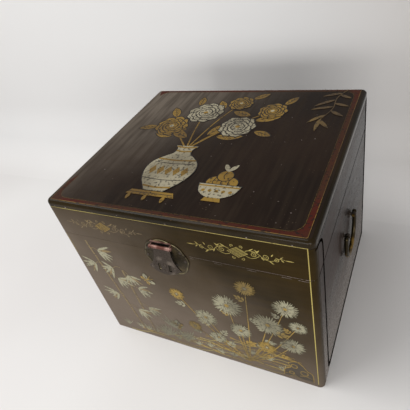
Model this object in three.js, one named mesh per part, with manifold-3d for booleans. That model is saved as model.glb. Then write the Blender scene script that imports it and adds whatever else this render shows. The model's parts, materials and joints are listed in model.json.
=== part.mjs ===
// Lacquered wooden chest with a hinged lid, a lock plate with a hasp, and a bail handle on each side.
// Millimetres, +Z up, front face towards -Y. The origin is the centre of the footprint.
import * as THREE from 'three';
import { mergeVertices } from 'three/addons/utils/BufferGeometryUtils.js';
import Module from 'manifold-3d';

const wasm = await Module();
wasm.setup();

// Carcase and lid
const WIDTH = 380;
const DEPTH = 338;
const HEIGHT = 302;
const LID_HEIGHT = 62;
const SEAM_GAP = 0.4;
const BOARD = 12;
const BOTTOM_BOARD = 10;
const LID_PANEL = 12;
const EDGE_ROUND = 6;
const CORNER_ROUND = 8;
const ROUND_STEPS = 5;

// Clearances between metal pieces
const RUNNING_GAP = 0.3;
const SIDE_PLAY = 0.4;

// Nails
const NAIL_HEAD_RADIUS = 2.6;
const NAIL_HEAD_HEIGHT = 1.2;
const NAIL_SHANK_RADIUS = 1.1;
const NAIL_DEPTH = 9;
const NAIL_SIDES = 10;

// Lock plate, split along the seam of the chest
const LOCK_X = -7;
const LOCK_BELOW_SEAM = 9;
const LOCK_RADIUS = 34;
const LOCK_LOBES = 8;
const LOBE_DEPTH = 1.6;
const LOBE_STEPS = 5;
const PLATE_THICKNESS = 1.2;
const PLATE_NAIL_INSET = 5;

// Hasp, its bracket and its pin. The hasp leans out and rests in front of the staple eyes
const HASP_X = -7;
const HASP_ABOVE_SEAM = 14.5;
const HASP_STANDOFF = 5.6;
const HASP_TAIL = 11.5;
const HASP_TOP_WIDTH = 26;
const HASP_BOTTOM_WIDTH = 50;
const HASP_THICKNESS = 1.5;
const HASP_BARREL_RADIUS = 2.7;
const HASP_BARREL_LENGTH = 26;
const HASP_PIN_RADIUS = 1.3;
const HASP_NECK = 9;
const HASP_CORNER_RISE = 10.5;
const BRACKET_HEIGHT = 6;
const BRACKET_RISE = 6.5;
const BRACKET_LIP = 1.4;
const BRACKET_LIP_HEIGHT = 1.6;
const BRACKET_THICKNESS = 1.2;
const EAR_THICKNESS = 2;
const PIN_HEAD = 1.2;

// Staples through the lower plate. Their eyes reach through the closed hasp and take the bar of a padlock
const STAPLE_DROP = 33.5;
const STAPLE_SPACING = 16;
const STAPLE_THICKNESS = 2.4;
const STAPLE_WALL = 1.2;
const STAPLE_REACH = 6.8;
const STAPLE_HOLE_HEIGHT = 5.4;
const EYE_CLEARANCE = 0.4;
const SLOT_PLAY = 0.8;
const SLOT_RISE_PLAY = 1.5;

// Bail handles
const HANDLE_Y = 0;
const HANDLE_BELOW_SEAM = 68;
const POST_SPACING = 48;
const BAIL_STANDOFF = 5.6;
const BAIL_DROP = 51;
const BAIL_RADIUS = 3.1;
const BAIL_KNUCKLE_RADIUS = BAIL_RADIUS + 0.3;
const BAIL_PIN_RADIUS = 2.2;
const BAIL_SPREAD = 7;
const BAIL_END = 4;
const BAIL_SIDES = 10;
const BAIL_STEPS = 44;
const QUARTER_ROUND = 0.5523;
const EYE_WALL = 1.3;
const EYE_WIDTH = 4;
const ROSETTE_RADIUS = 6.5;
const ROSETTE_HEIGHT = 1.1;
const POST_STEM_RADIUS = 2;

// Back hinges
const HINGE_SPACING = 210;
const HINGE_WIDTH = 46;
const LEAF_HEIGHT = 27;
const LEAF_THICKNESS = 1.2;
const KNUCKLE_RADIUS = 3.4;
const HINGE_PIN_RADIUS = 1.6;
const ROUND_SIDES = 20;

const FRONT = -DEPTH / 2;
const BACK = DEPTH / 2;
const SIDE = WIDTH / 2;
const SEAM_HEIGHT = HEIGHT - LID_HEIGHT;
const LID_BASE = SEAM_HEIGHT + SEAM_GAP;
const HINGE_Y = BACK + KNUCKLE_RADIUS + RUNNING_GAP;
const HINGE_Z = SEAM_HEIGHT + SEAM_GAP / 2;
const LOCK_Z = SEAM_HEIGHT - LOCK_BELOW_SEAM;
const HANDLE_Z = SEAM_HEIGHT - HANDLE_BELOW_SEAM;
const HASP_PIVOT_Y = FRONT - HASP_STANDOFF;
const HASP_PIVOT_Z = SEAM_HEIGHT + HASP_ABOVE_SEAM;
const HASP_LENGTH = STAPLE_DROP + HASP_TAIL;
const HASP_BACK_Y = HASP_PIVOT_Y + HASP_BARREL_RADIUS;
const STAPLE_Z = HASP_PIVOT_Z - STAPLE_DROP;
const PLATE_FACE = FRONT - PLATE_THICKNESS;

const lacquer = { color: 0x3a2f22, roughness: 0.42, metalness: 0 };
const lacquerTop = { color: 0x2a2422, roughness: 0.38, metalness: 0 };
const lacquerSide = { color: 0x4a4540, roughness: 0.5, metalness: 0 };
const bareWood = { color: 0x6b4a30, roughness: 0.8, metalness: 0 };
const darkBronze = { color: 0x4a443c, roughness: 0.5, metalness: 0.9 };
const copper = { color: 0x8a5c4c, roughness: 0.42, metalness: 0.9 };
const brass = { color: 0x7a6232, roughness: 0.4, metalness: 0.95 };

const chest = new THREE.Group();

function toSolid(geometry) {
  const bare = geometry.clone();
  bare.deleteAttribute('normal');
  bare.deleteAttribute('uv');
  const merged = mergeVertices(bare, 1e-4);
  const vertProperties = Float32Array.from(merged.attributes.position.array);
  const triVerts = Uint32Array.from(merged.index.array);
  return new wasm.Manifold(new wasm.Mesh({ numProp: 3, vertProperties, triVerts }));
}

function toGeometry(solid) {
  const mesh = solid.getMesh();
  const geometry = new THREE.BufferGeometry();
  geometry.setAttribute('position', new THREE.BufferAttribute(mesh.vertProperties, 3));
  geometry.setIndex(new THREE.BufferAttribute(mesh.triVerts, 1));
  geometry.computeVertexNormals();
  return geometry;
}

function addPart(name, solid, finish) {
  const mesh = new THREE.Mesh(toGeometry(solid), new THREE.MeshStandardMaterial(finish));
  mesh.name = name;
  chest.add(mesh);
}

// A box given by its lowest and highest corners
function block(low, high) {
  const size = high.map((value, axis) => value - low[axis]);
  const box = new THREE.BoxGeometry(...size);
  box.translate(...high.map((value, axis) => (value + low[axis]) / 2));
  return toSolid(box);
}

// A cylinder between two x values, round the line y, z
function rodAlongX(fromX, toX, y, z, radius, sides = ROUND_SIDES) {
  const rod = new THREE.CylinderGeometry(radius, radius, toX - fromX, sides);
  rod.rotateZ(Math.PI / 2);
  rod.translate((fromX + toX) / 2, y, z);
  return toSolid(rod);
}

function rodAlongY(fromY, toY, x, z, radius, sides = ROUND_SIDES) {
  const rod = new THREE.CylinderGeometry(radius, radius, toY - fromY, sides);
  rod.translate(x, (fromY + toY) / 2, z);
  return toSolid(rod);
}

// A flat plate whose outline lies in x, z and whose thickness runs along y
function plateFacingFront(outline, backY, thickness) {
  const options = { depth: thickness, bevelEnabled: false, curveSegments: 10 };
  const plate = new THREE.ExtrudeGeometry(outline, options);
  plate.rotateX(Math.PI / 2);
  plate.translate(0, backY, 0);
  return toSolid(plate);
}

// Nails: each is remembered so that its hole can be drilled in what it passes through
const nails = [];

function planNail(name, x, z, faceY, outward) {
  nails.push({ name, x, z, faceY, outward });
}

function nailShank(nail, grow) {
  const tipY = nail.faceY - nail.outward * (NAIL_DEPTH + grow);
  const topY = nail.faceY + nail.outward * (grow > 0 ? grow : NAIL_HEAD_HEIGHT / 2);
  const radius = NAIL_SHANK_RADIUS + grow;
  return rodAlongY(Math.min(tipY, topY), Math.max(tipY, topY), nail.x, nail.z, radius, NAIL_SIDES);
}

function nailSolid(nail) {
  const points = [new THREE.Vector2(0, 0), new THREE.Vector2(NAIL_HEAD_RADIUS, 0)];
  points.push(new THREE.Vector2(NAIL_HEAD_RADIUS * 0.8, NAIL_HEAD_HEIGHT * 0.7));
  points.push(new THREE.Vector2(0, NAIL_HEAD_HEIGHT));
  const head = new THREE.LatheGeometry(points, NAIL_SIDES);
  if (nail.outward < 0) {
    head.rotateX(Math.PI);
  }
  head.translate(nail.x, nail.faceY, nail.z);
  return toSolid(head).add(nailShank(nail, 0));
}

function drill(solid, from, to = nails.length) {
  let drilled = solid;
  for (const nail of nails.slice(from, to)) {
    drilled = drilled.subtract(nailShank(nail, RUNNING_GAP));
  }
  return drilled;
}

// Lock plate outline: a round plate with shallow lobes
function lockOutline() {
  const outline = new THREE.Shape();
  const count = LOCK_LOBES * LOBE_STEPS;
  for (let step = 0; step < count; step += 1) {
    const angle = (step / count) * Math.PI * 2;
    const lobe = Math.abs(Math.cos((angle * LOCK_LOBES) / 2));
    const radius = LOCK_RADIUS - LOBE_DEPTH * (1 - lobe);
    const x = LOCK_X + radius * Math.cos(angle);
    const z = LOCK_Z + radius * Math.sin(angle);
    if (step === 0) {
      outline.moveTo(x, z);
    } else {
      outline.lineTo(x, z);
    }
  }
  outline.closePath();
  return outline;
}

const plateNailRadius = LOCK_RADIUS - PLATE_NAIL_INSET;
const lowerNailAngles = [{ name: 'right', turn: 0 }, { name: 'left', turn: 180 }, { name: 'bottom', turn: 270 }];
const upperNailAngles = [{ name: 'upper_right', turn: 30 }, { name: 'upper_left', turn: 150 }];

function planPlateNails(angles) {
  for (const { name, turn } of angles) {
    const angle = THREE.MathUtils.degToRad(turn);
    const x = LOCK_X + plateNailRadius * Math.cos(angle);
    const z = LOCK_Z + plateNailRadius * Math.sin(angle);
    planNail(`lock_nail_${name}`, x, z, PLATE_FACE, -1);
  }
}

planPlateNails(lowerNailAngles);
const upperPlateNails = nails.length;
planPlateNails(upperNailAngles);
const bodyHingeNails = nails.length;

const hinges = [{ side: 'left', x: -HINGE_SPACING / 2 }, { side: 'right', x: HINGE_SPACING / 2 }];

function planHingeNails(part, direction) {
  for (const { side, x } of hinges) {
    for (const [place, offset] of [['outer', -HINGE_WIDTH / 3], ['inner', HINGE_WIDTH / 3]]) {
      const z = HINGE_Z + direction * LEAF_HEIGHT * 0.62;
      planNail(`hinge_nail_${part}_${side}_${place}`, x + offset, z, BACK + LEAF_THICKNESS, 1);
    }
  }
}

planHingeNails('body', -1);
const lidHingeNails = nails.length;
planHingeNails('lid', 1);

const staples = [
  { side: 'left', x: HASP_X - STAPLE_SPACING / 2 },
  { side: 'right', x: HASP_X + STAPLE_SPACING / 2 },
];
const handleSides = [{ side: 'left', sign: -1 }, { side: 'right', sign: 1 }];
const posts = [
  { place: 'front', y: HANDLE_Y - POST_SPACING / 2 },
  { place: 'back', y: HANDLE_Y + POST_SPACING / 2 },
];

// The two legs of a staple, from its crown into the front board
function stapleLegs(x, grow) {
  const half = STAPLE_THICKNESS / 2 + grow;
  const deep = FRONT + NAIL_DEPTH + grow;
  const legs = [];
  for (const direction of [-1, 1]) {
    const inner = STAPLE_Z + direction * (STAPLE_HOLE_HEIGHT / 2 - grow);
    const outer = STAPLE_Z + direction * (STAPLE_HOLE_HEIGHT / 2 + STAPLE_WALL + grow);
    const low = [x - half, PLATE_FACE - STAPLE_REACH, Math.min(inner, outer)];
    legs.push(block(low, [x + half, deep, Math.max(inner, outer)]));
  }
  return legs[0].add(legs[1]);
}

function postStem(sign, y, grow) {
  const inner = SIDE - NAIL_DEPTH - grow;
  const outer = SIDE + BAIL_STANDOFF - EYE_WALL;
  const [fromX, toX] = sign > 0 ? [inner, outer] : [-outer, -inner];
  return rodAlongX(fromX, toX, y, HANDLE_Z, POST_STEM_RADIUS + grow, NAIL_SIDES);
}

// A front or back board, whose two outer upright edges are rounded. Facing is -1 in front, 1 at the back
function cornerBoard(facing, baseZ, topZ) {
  const outer = (facing * DEPTH) / 2;
  const inner = outer - facing * BOARD;
  const round = outer - facing * CORNER_ROUND;
  const outline = new THREE.Shape();
  outline.moveTo(-SIDE, inner);
  outline.lineTo(-SIDE, round);
  const quarter = (facing * Math.PI) / 2;
  outline.absarc(-SIDE + CORNER_ROUND, round, CORNER_ROUND, Math.PI, quarter, facing > 0);
  outline.absarc(SIDE - CORNER_ROUND, round, CORNER_ROUND, quarter, 0, facing > 0);
  outline.lineTo(SIDE, inner);
  outline.closePath();
  const options = { depth: topZ - baseZ, bevelEnabled: false, curveSegments: ROUND_STEPS };
  const board = new THREE.ExtrudeGeometry(outline, options);
  board.translate(0, 0, baseZ);
  return toSolid(board);
}

function makeCarcase() {
  let front = drill(cornerBoard(-1, 0, SEAM_HEIGHT), 0, upperPlateNails);
  for (const { x } of staples) {
    front = front.subtract(stapleLegs(x, RUNNING_GAP));
  }
  addPart('front_board', front, lacquer);
  addPart('back_board', drill(cornerBoard(1, 0, SEAM_HEIGHT), bodyHingeNails, lidHingeNails), lacquerSide);
  for (const { side, sign } of handleSides) {
    const innerX = sign * (SIDE - BOARD);
    const outerX = sign * SIDE;
    const low = [Math.min(innerX, outerX), FRONT + BOARD, 0];
    const high = [Math.max(innerX, outerX), BACK - BOARD, SEAM_HEIGHT];
    let board = block(low, high);
    for (const { y } of posts) {
      board = board.subtract(postStem(sign, y, RUNNING_GAP));
    }
    addPart(`${side}_side_board`, board, lacquerSide);
  }
  const inner = [SIDE - BOARD, BACK - BOARD];
  addPart('bottom_board', block([-inner[0], -inner[1], 0], [inner[0], inner[1], BOTTOM_BOARD]), bareWood);
}

// The lid's top board: rounded upright corners, and an upper edge rounded over on all four sides
function roundedPanel(baseZ, topZ) {
  const rings = [{ inset: 0, z: baseZ }];
  for (let step = 0; step <= ROUND_STEPS; step += 1) {
    const angle = (step / ROUND_STEPS) * (Math.PI / 2);
    const inset = EDGE_ROUND * (1 - Math.cos(angle));
    rings.push({ inset, z: topZ - EDGE_ROUND * (1 - Math.sin(angle)) });
  }
  const corners = [[-1, -1, Math.PI], [1, -1, -Math.PI / 2], [1, 1, 0], [-1, 1, Math.PI / 2]];
  const positions = [];
  for (const { inset, z } of rings) {
    const radius = CORNER_ROUND - inset;
    for (const [signX, signY, start] of corners) {
      for (let step = 0; step <= ROUND_STEPS; step += 1) {
        const angle = start + (step / ROUND_STEPS) * (Math.PI / 2);
        const x = signX * (SIDE - CORNER_ROUND) + radius * Math.cos(angle);
        positions.push(x, signY * (BACK - CORNER_ROUND) + radius * Math.sin(angle), z);
      }
    }
  }
  const count = corners.length * (ROUND_STEPS + 1);
  const top = (rings.length - 1) * count;
  const index = [];
  for (let ring = 0; ring < rings.length - 1; ring += 1) {
    for (let place = 0; place < count; place += 1) {
      const a = ring * count + place;
      const b = ring * count + ((place + 1) % count);
      index.push(a, b, b + count, a, b + count, a + count);
    }
  }
  for (let place = 1; place < count - 1; place += 1) {
    index.push(0, place + 1, place, top, top + place, top + place + 1);
  }
  const geometry = new THREE.BufferGeometry();
  geometry.setAttribute('position', new THREE.Float32BufferAttribute(positions, 3));
  geometry.setIndex(index);
  return toSolid(geometry);
}

function makeLid() {
  const panelBase = HEIGHT - LID_PANEL;
  addPart('lid_top_panel', roundedPanel(panelBase, HEIGHT), lacquerTop);
  const front = cornerBoard(-1, LID_BASE, panelBase);
  addPart('lid_front_rail', drill(front, upperPlateNails, bodyHingeNails), lacquer);
  addPart('lid_back_rail', drill(cornerBoard(1, LID_BASE, panelBase), lidHingeNails), lacquerSide);
  for (const { side, sign } of handleSides) {
    const innerX = sign * (SIDE - BOARD);
    const outerX = sign * SIDE;
    const low = [Math.min(innerX, outerX), FRONT + BOARD, LID_BASE];
    const high = [Math.max(innerX, outerX), BACK - BOARD, panelBase];
    addPart(`lid_${side}_rail`, block(low, high), lacquerSide);
  }
}

function makeLockPlates() {
  const plate = plateFacingFront(lockOutline(), FRONT, PLATE_THICKNESS);
  const reach = LOCK_RADIUS + 1;
  const cutLow = [LOCK_X - reach, PLATE_FACE - 1, SEAM_HEIGHT];
  const cutHigh = [LOCK_X + reach, FRONT + 1, LOCK_Z + reach];
  let lower = plate.subtract(block(cutLow, cutHigh));
  lower = drill(lower, 0, upperPlateNails);
  for (const { x } of staples) {
    lower = lower.subtract(stapleLegs(x, RUNNING_GAP));
  }
  addPart('lock_plate_lower', lower, darkBronze);
  const bottomLow = [LOCK_X - reach, PLATE_FACE - 1, LOCK_Z - reach];
  const upper = plate.subtract(block(bottomLow, [LOCK_X + reach, FRONT + 1, LID_BASE]));
  addPart('lock_plate_upper', drill(upper, upperPlateNails, bodyHingeNails), darkBronze);
}

function makeStaples() {
  const tall = STAPLE_HOLE_HEIGHT / 2 + STAPLE_WALL;
  const half = STAPLE_THICKNESS / 2;
  const crown = PLATE_FACE - STAPLE_REACH;
  for (const { side, x } of staples) {
    const high = [x + half, crown + STAPLE_WALL, STAPLE_Z + tall];
    const bar = block([x - half, crown, STAPLE_Z - tall], high);
    addPart(`staple_${side}`, bar.add(stapleLegs(x, 0)), darkBronze);
  }
}

function haspOutline() {
  const top = HASP_TOP_WIDTH / 2;
  const bottom = HASP_BOTTOM_WIDTH / 2;
  const cornerZ = -HASP_LENGTH + HASP_CORNER_RISE;
  const outline = new THREE.Shape();
  outline.moveTo(HASP_X - top, HASP_PIVOT_Z);
  outline.lineTo(HASP_X - top, HASP_PIVOT_Z - HASP_NECK);
  const waistZ = HASP_PIVOT_Z + cornerZ + HASP_CORNER_RISE;
  outline.quadraticCurveTo(HASP_X - top, waistZ, HASP_X - bottom, HASP_PIVOT_Z + cornerZ);
  const dipZ = HASP_PIVOT_Z - HASP_LENGTH - HASP_CORNER_RISE;
  outline.quadraticCurveTo(HASP_X, dipZ, HASP_X + bottom, HASP_PIVOT_Z + cornerZ);
  outline.quadraticCurveTo(HASP_X + top, waistZ, HASP_X + top, HASP_PIVOT_Z - HASP_NECK);
  outline.lineTo(HASP_X + top, HASP_PIVOT_Z);
  outline.closePath();
  return outline;
}

// How far the hasp leans out, in degrees, so that its back clears the tips of the staple eyes
function haspLean() {
  const tips = PLATE_THICKNESS + STAPLE_REACH + EYE_CLEARANCE;
  const reach = Math.max(0, tips + HASP_BARREL_RADIUS - HASP_STANDOFF);
  return THREE.MathUtils.radToDeg(Math.atan2(reach, STAPLE_DROP - STAPLE_HOLE_HEIGHT / 2 - STAPLE_WALL));
}

function makeHasp() {
  const halfBarrel = HASP_BARREL_LENGTH / 2;
  const bore = HASP_PIN_RADIUS + RUNNING_GAP;
  let hasp = plateFacingFront(haspOutline(), HASP_BACK_Y, HASP_THICKNESS);
  const barrelEnds = [HASP_X - halfBarrel, HASP_X + halfBarrel];
  hasp = hasp.add(rodAlongX(...barrelEnds, HASP_PIVOT_Y, HASP_PIVOT_Z, HASP_BARREL_RADIUS));
  const boreEnds = [barrelEnds[0] - 1, barrelEnds[1] + 1];
  hasp = hasp.subtract(rodAlongX(...boreEnds, HASP_PIVOT_Y, HASP_PIVOT_Z, bore));
  const slotHalf = STAPLE_THICKNESS / 2 + SLOT_PLAY;
  const slotTall = STAPLE_HOLE_HEIGHT / 2 + STAPLE_WALL + SLOT_RISE_PLAY;
  for (const { x } of staples) {
    const low = [x - slotHalf, HASP_BACK_Y - HASP_THICKNESS - 1, STAPLE_Z - slotTall];
    const high = [x + slotHalf, HASP_BACK_Y + 1, STAPLE_Z + slotTall];
    hasp = hasp.subtract(block(low, high));
  }
  hasp = hasp.translate([0, -HASP_PIVOT_Y, -HASP_PIVOT_Z]).rotate([-haspLean(), 0, 0]);
  addPart('hasp', hasp.translate([0, HASP_PIVOT_Y, HASP_PIVOT_Z]), darkBronze);

  const earInner = halfBarrel + SIDE_PLAY;
  const earOuter = earInner + EAR_THICKNESS;
  const bracketBack = PLATE_FACE;
  const bracketFace = bracketBack - BRACKET_THICKNESS;
  const bracketLow = [HASP_X - earOuter, bracketFace, HASP_PIVOT_Z - BRACKET_HEIGHT / 2];
  const bracketHigh = [HASP_X + earOuter, bracketBack, HASP_PIVOT_Z + BRACKET_RISE];
  let bracket = block(bracketLow, bracketHigh);
  const lipLow = [bracketLow[0], bracketFace - BRACKET_LIP, bracketHigh[2] - BRACKET_LIP_HEIGHT];
  bracket = bracket.add(block(lipLow, bracketHigh));
  for (const sign of [-1, 1]) {
    const ends = [HASP_X + sign * earInner, HASP_X + sign * earOuter].sort((a, b) => a - b);
    const earHalf = BRACKET_HEIGHT / 2;
    const armHigh = [ends[1], bracketBack, HASP_PIVOT_Z + earHalf];
    const arm = block([ends[0], HASP_PIVOT_Y, HASP_PIVOT_Z - earHalf], armHigh);
    bracket = bracket.add(arm).add(rodAlongX(...ends, HASP_PIVOT_Y, HASP_PIVOT_Z, earHalf));
  }
  const holeEnds = [HASP_X - earOuter - 1, HASP_X + earOuter + 1];
  bracket = bracket.subtract(rodAlongX(...holeEnds, HASP_PIVOT_Y, HASP_PIVOT_Z, bore));
  addPart('hasp_bracket', bracket, copper);

  const pinEnd = earOuter + RUNNING_GAP;
  let pin = rodAlongX(HASP_X - pinEnd, HASP_X + pinEnd, HASP_PIVOT_Y, HASP_PIVOT_Z, HASP_PIN_RADIUS);
  const headRadius = HASP_PIN_RADIUS + 1;
  for (const from of [HASP_X - pinEnd - PIN_HEAD, HASP_X + pinEnd]) {
    pin = pin.add(rodAlongX(from, from + PIN_HEAD, HASP_PIVOT_Y, HASP_PIVOT_Z, headRadius));
  }
  addPart('hasp_pin', pin, copper);
}

// The bail's centre line: down one arm, round the half circle at the bottom and up the other arm
function bailPath(sign) {
  const x = sign * (SIDE + BAIL_STANDOFF);
  const half = POST_SPACING / 2 + BAIL_SPREAD;
  const pull = half * QUARTER_ROUND;
  const armEnd = BAIL_DROP - half;
  const at = (y, drop) => new THREE.Vector3(x, HANDLE_Y + y, HANDLE_Z - drop);
  const low = at(0, BAIL_DROP);
  const near = [at(-half, armEnd), at(-half, armEnd + pull), at(-pull, BAIL_DROP)];
  const far = [at(pull, BAIL_DROP), at(half, armEnd + pull), at(half, armEnd)];
  const path = new THREE.CurvePath();
  path.add(new THREE.LineCurve3(at(-half, 0), near[0]));
  path.add(new THREE.CubicBezierCurve3(...near, low));
  path.add(new THREE.CubicBezierCurve3(low, ...far));
  path.add(new THREE.LineCurve3(far[2], at(half, 0)));
  return path;
}

// The bail: a bent rod with a knuckle at the top of each arm and a thinner pin that turns in through the post
function makeBail(side, sign) {
  const section = new THREE.Shape();
  section.absarc(0, 0, BAIL_RADIUS, 0, Math.PI * 2);
  const options = { steps: BAIL_STEPS, extrudePath: bailPath(sign), curveSegments: BAIL_SIDES / 2 };
  const x = sign * (SIDE + BAIL_STANDOFF);
  let bail = toSolid(new THREE.ExtrudeGeometry(section, options));
  for (const way of [-1, 1]) {
    const armY = HANDLE_Y + way * (POST_SPACING / 2 + BAIL_SPREAD);
    const endY = HANDLE_Y + way * (POST_SPACING / 2 - BAIL_END);
    const knuckle = new THREE.SphereGeometry(BAIL_KNUCKLE_RADIUS, 14, 8);
    knuckle.translate(x, armY, HANDLE_Z);
    const pin = rodAlongY(Math.min(armY, endY), Math.max(armY, endY), x, HANDLE_Z, BAIL_PIN_RADIUS);
    bail = bail.add(toSolid(knuckle)).add(pin);
  }
  addPart(`bail_${side}`, bail, brass);
}

function makePost(side, sign, place, y) {
  const pivotX = sign * (SIDE + BAIL_STANDOFF);
  const halfEye = EYE_WIDTH / 2;
  const hole = BAIL_PIN_RADIUS + RUNNING_GAP;
  const eye = rodAlongY(y - halfEye, y + halfEye, pivotX, HANDLE_Z, hole + EYE_WALL);
  const bore = rodAlongY(y - halfEye - 1, y + halfEye + 1, pivotX, HANDLE_Z, hole);
  addPart(`post_${side}_${place}`, eye.add(postStem(sign, y, 0)).subtract(bore), darkBronze);
}

// A low domed washer with a hole for the post's stem
function makeRosette(side, sign, place, y) {
  const inner = POST_STEM_RADIUS + RUNNING_GAP;
  const points = [new THREE.Vector2(inner, 0), new THREE.Vector2(ROSETTE_RADIUS, 0)];
  points.push(new THREE.Vector2(ROSETTE_RADIUS - 0.6, ROSETTE_HEIGHT * 0.6));
  points.push(new THREE.Vector2(ROSETTE_RADIUS * 0.6, ROSETTE_HEIGHT));
  points.push(new THREE.Vector2(inner, ROSETTE_HEIGHT));
  points.push(new THREE.Vector2(inner, 0));
  const washer = new THREE.LatheGeometry(points, ROUND_SIDES);
  washer.rotateZ(-sign * (Math.PI / 2));
  washer.translate(sign * SIDE, y, HANDLE_Z);
  addPart(`rosette_${side}_${place}`, toSolid(washer), darkBronze);
}

function makeHandles() {
  for (const { side, sign } of handleSides) {
    makeBail(side, sign);
    for (const { place, y } of posts) {
      makePost(side, sign, place, y);
      makeRosette(side, sign, place, y);
    }
  }
}

function hingeLeaf(x, direction, own, partner, nailFrom, nailTo) {
  const half = HINGE_WIDTH / 2;
  const near = HINGE_Z + direction * RUNNING_GAP;
  const far = HINGE_Z + direction * LEAF_HEIGHT;
  const low = [x - half, BACK, Math.min(near, far)];
  const high = [x + half, BACK + LEAF_THICKNESS, Math.max(near, far)];
  let leaf = block(low, high);
  for (const [from, to] of partner) {
    const ends = [x + from - SIDE_PLAY, x + to + SIDE_PLAY];
    leaf = leaf.subtract(rodAlongX(...ends, HINGE_Y, HINGE_Z, KNUCKLE_RADIUS + RUNNING_GAP * 2));
  }
  for (const [from, to] of own) {
    leaf = leaf.add(rodAlongX(x + from, x + to, HINGE_Y, HINGE_Z, KNUCKLE_RADIUS));
  }
  const bore = rodAlongX(x - half - 1, x + half + 1, HINGE_Y, HINGE_Z, HINGE_PIN_RADIUS + RUNNING_GAP);
  return drill(leaf.subtract(bore), nailFrom, nailTo);
}

function makeHinges() {
  const half = HINGE_WIDTH / 2;
  const sixth = HINGE_WIDTH / 6;
  const outerKnuckles = [[-half, -sixth - SIDE_PLAY / 2], [sixth + SIDE_PLAY / 2, half]];
  const middleKnuckle = [[-sixth + SIDE_PLAY / 2, sixth - SIDE_PLAY / 2]];
  for (const { side, x } of hinges) {
    const lower = hingeLeaf(x, -1, outerKnuckles, middleKnuckle, bodyHingeNails, lidHingeNails);
    addPart(`hinge_leaf_body_${side}`, lower, darkBronze);
    const upper = hingeLeaf(x, 1, middleKnuckle, outerKnuckles, lidHingeNails, nails.length);
    addPart(`hinge_leaf_lid_${side}`, upper, darkBronze);
    let pin = rodAlongX(x - half - RUNNING_GAP, x + half + RUNNING_GAP, HINGE_Y, HINGE_Z, HINGE_PIN_RADIUS);
    for (const from of [x - half - RUNNING_GAP - PIN_HEAD, x + half + RUNNING_GAP]) {
      pin = pin.add(rodAlongX(from, from + PIN_HEAD, HINGE_Y, HINGE_Z, HINGE_PIN_RADIUS + 1));
    }
    addPart(`hinge_pin_${side}`, pin, darkBronze);
  }
}

function makeNails() {
  for (const nail of nails) {
    addPart(nail.name, nailSolid(nail), darkBronze);
  }
}

makeCarcase();
makeLid();
makeLockPlates();
makeStaples();
makeHasp();
makeHandles();
makeHinges();
makeNails();

export default chest;
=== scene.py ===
"""Lacquered chest with a lid, a hasp lock and bail handles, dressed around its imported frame.

The frame stands on z = 0 and its front faces -Y. Lengths in the scene are metres. Drawn motifs are laid out
in millimetres on the face that carries them: x and z on the front, x and y on the lid, y and z on the sides.
"""

import json
import logging
import math
import random
from dataclasses import dataclass, field
from enum import Enum

import bmesh
import bpy
from mathutils import Matrix, Vector

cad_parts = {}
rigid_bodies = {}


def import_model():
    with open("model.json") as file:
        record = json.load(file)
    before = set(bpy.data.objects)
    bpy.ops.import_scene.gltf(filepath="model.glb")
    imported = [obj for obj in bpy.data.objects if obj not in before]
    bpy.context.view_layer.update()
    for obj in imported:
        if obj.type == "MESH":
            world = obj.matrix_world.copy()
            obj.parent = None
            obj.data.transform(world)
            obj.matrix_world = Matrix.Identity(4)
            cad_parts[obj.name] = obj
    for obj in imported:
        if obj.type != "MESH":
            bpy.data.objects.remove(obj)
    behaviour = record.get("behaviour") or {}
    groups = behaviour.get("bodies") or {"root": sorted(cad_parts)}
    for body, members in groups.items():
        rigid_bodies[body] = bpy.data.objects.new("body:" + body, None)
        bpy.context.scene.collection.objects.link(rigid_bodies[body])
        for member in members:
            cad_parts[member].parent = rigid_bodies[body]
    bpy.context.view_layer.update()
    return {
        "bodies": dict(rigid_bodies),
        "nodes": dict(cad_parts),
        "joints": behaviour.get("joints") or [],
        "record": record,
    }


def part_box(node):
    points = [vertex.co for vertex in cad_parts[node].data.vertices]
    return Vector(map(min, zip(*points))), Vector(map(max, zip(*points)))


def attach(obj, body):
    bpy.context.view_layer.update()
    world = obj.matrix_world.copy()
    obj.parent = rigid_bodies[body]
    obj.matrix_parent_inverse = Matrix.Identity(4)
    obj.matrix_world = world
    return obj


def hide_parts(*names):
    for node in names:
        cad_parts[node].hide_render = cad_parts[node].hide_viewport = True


MM = 0.001
SEAM = 240.2
SEAM_GAP = 0.4
FILM_STEP = 0.0005
WELD = 1e-6
SLOPES = ("Slope X", "Slope Y", "Slope Z")
SCALES = ("Scale X", "Scale Y", "Scale Z")

Screen = tuple[int, int, int]
Point = tuple[float, float]
Triple = tuple[float, float, float]
Inputs = dict[int | str, object]
Socket = bpy.types.NodeSocket
Material = bpy.types.Material
Mesh = bmesh.types.BMesh
Object = bpy.types.Object

log = logging.getLogger("chest")


class Face(Enum):
    """The faces of the chest that carry paint, each with the way it looks."""

    FRONT = (0, -1, 0)
    TOP = (0, 0, 1)
    RIGHT = (1, 0, 0)
    LEFT = (-1, 0, 0)


class Ink(Enum):
    """The colours that the motifs and lines are drawn in."""

    GOLD = "gold"
    OCHRE = "ochre"
    SILVER = "silver"
    DARK = "dark"
    RED = "red"
    # Pale chips and specks, and the painted highlight along the seam.
    WORN = "worn"
    LINE = "line"
    FADED = "faded"


def linear(seen: Screen) -> tuple[float, float, float, float]:
    """Turns a colour as seen on a screen into linear light.

    Args:
        seen: Its red, green and blue, from 0 to 255.

    Returns:
        The linear red, green and blue, and an alpha of 1.
    """
    shares = [channel / 255 for channel in seen]
    red, green, blue = [s / 12.92 if s <= 0.04045 else ((s + 0.055) / 1.055) ** 2.4 for s in shares]
    return (red, green, blue, 1.0)


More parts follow.
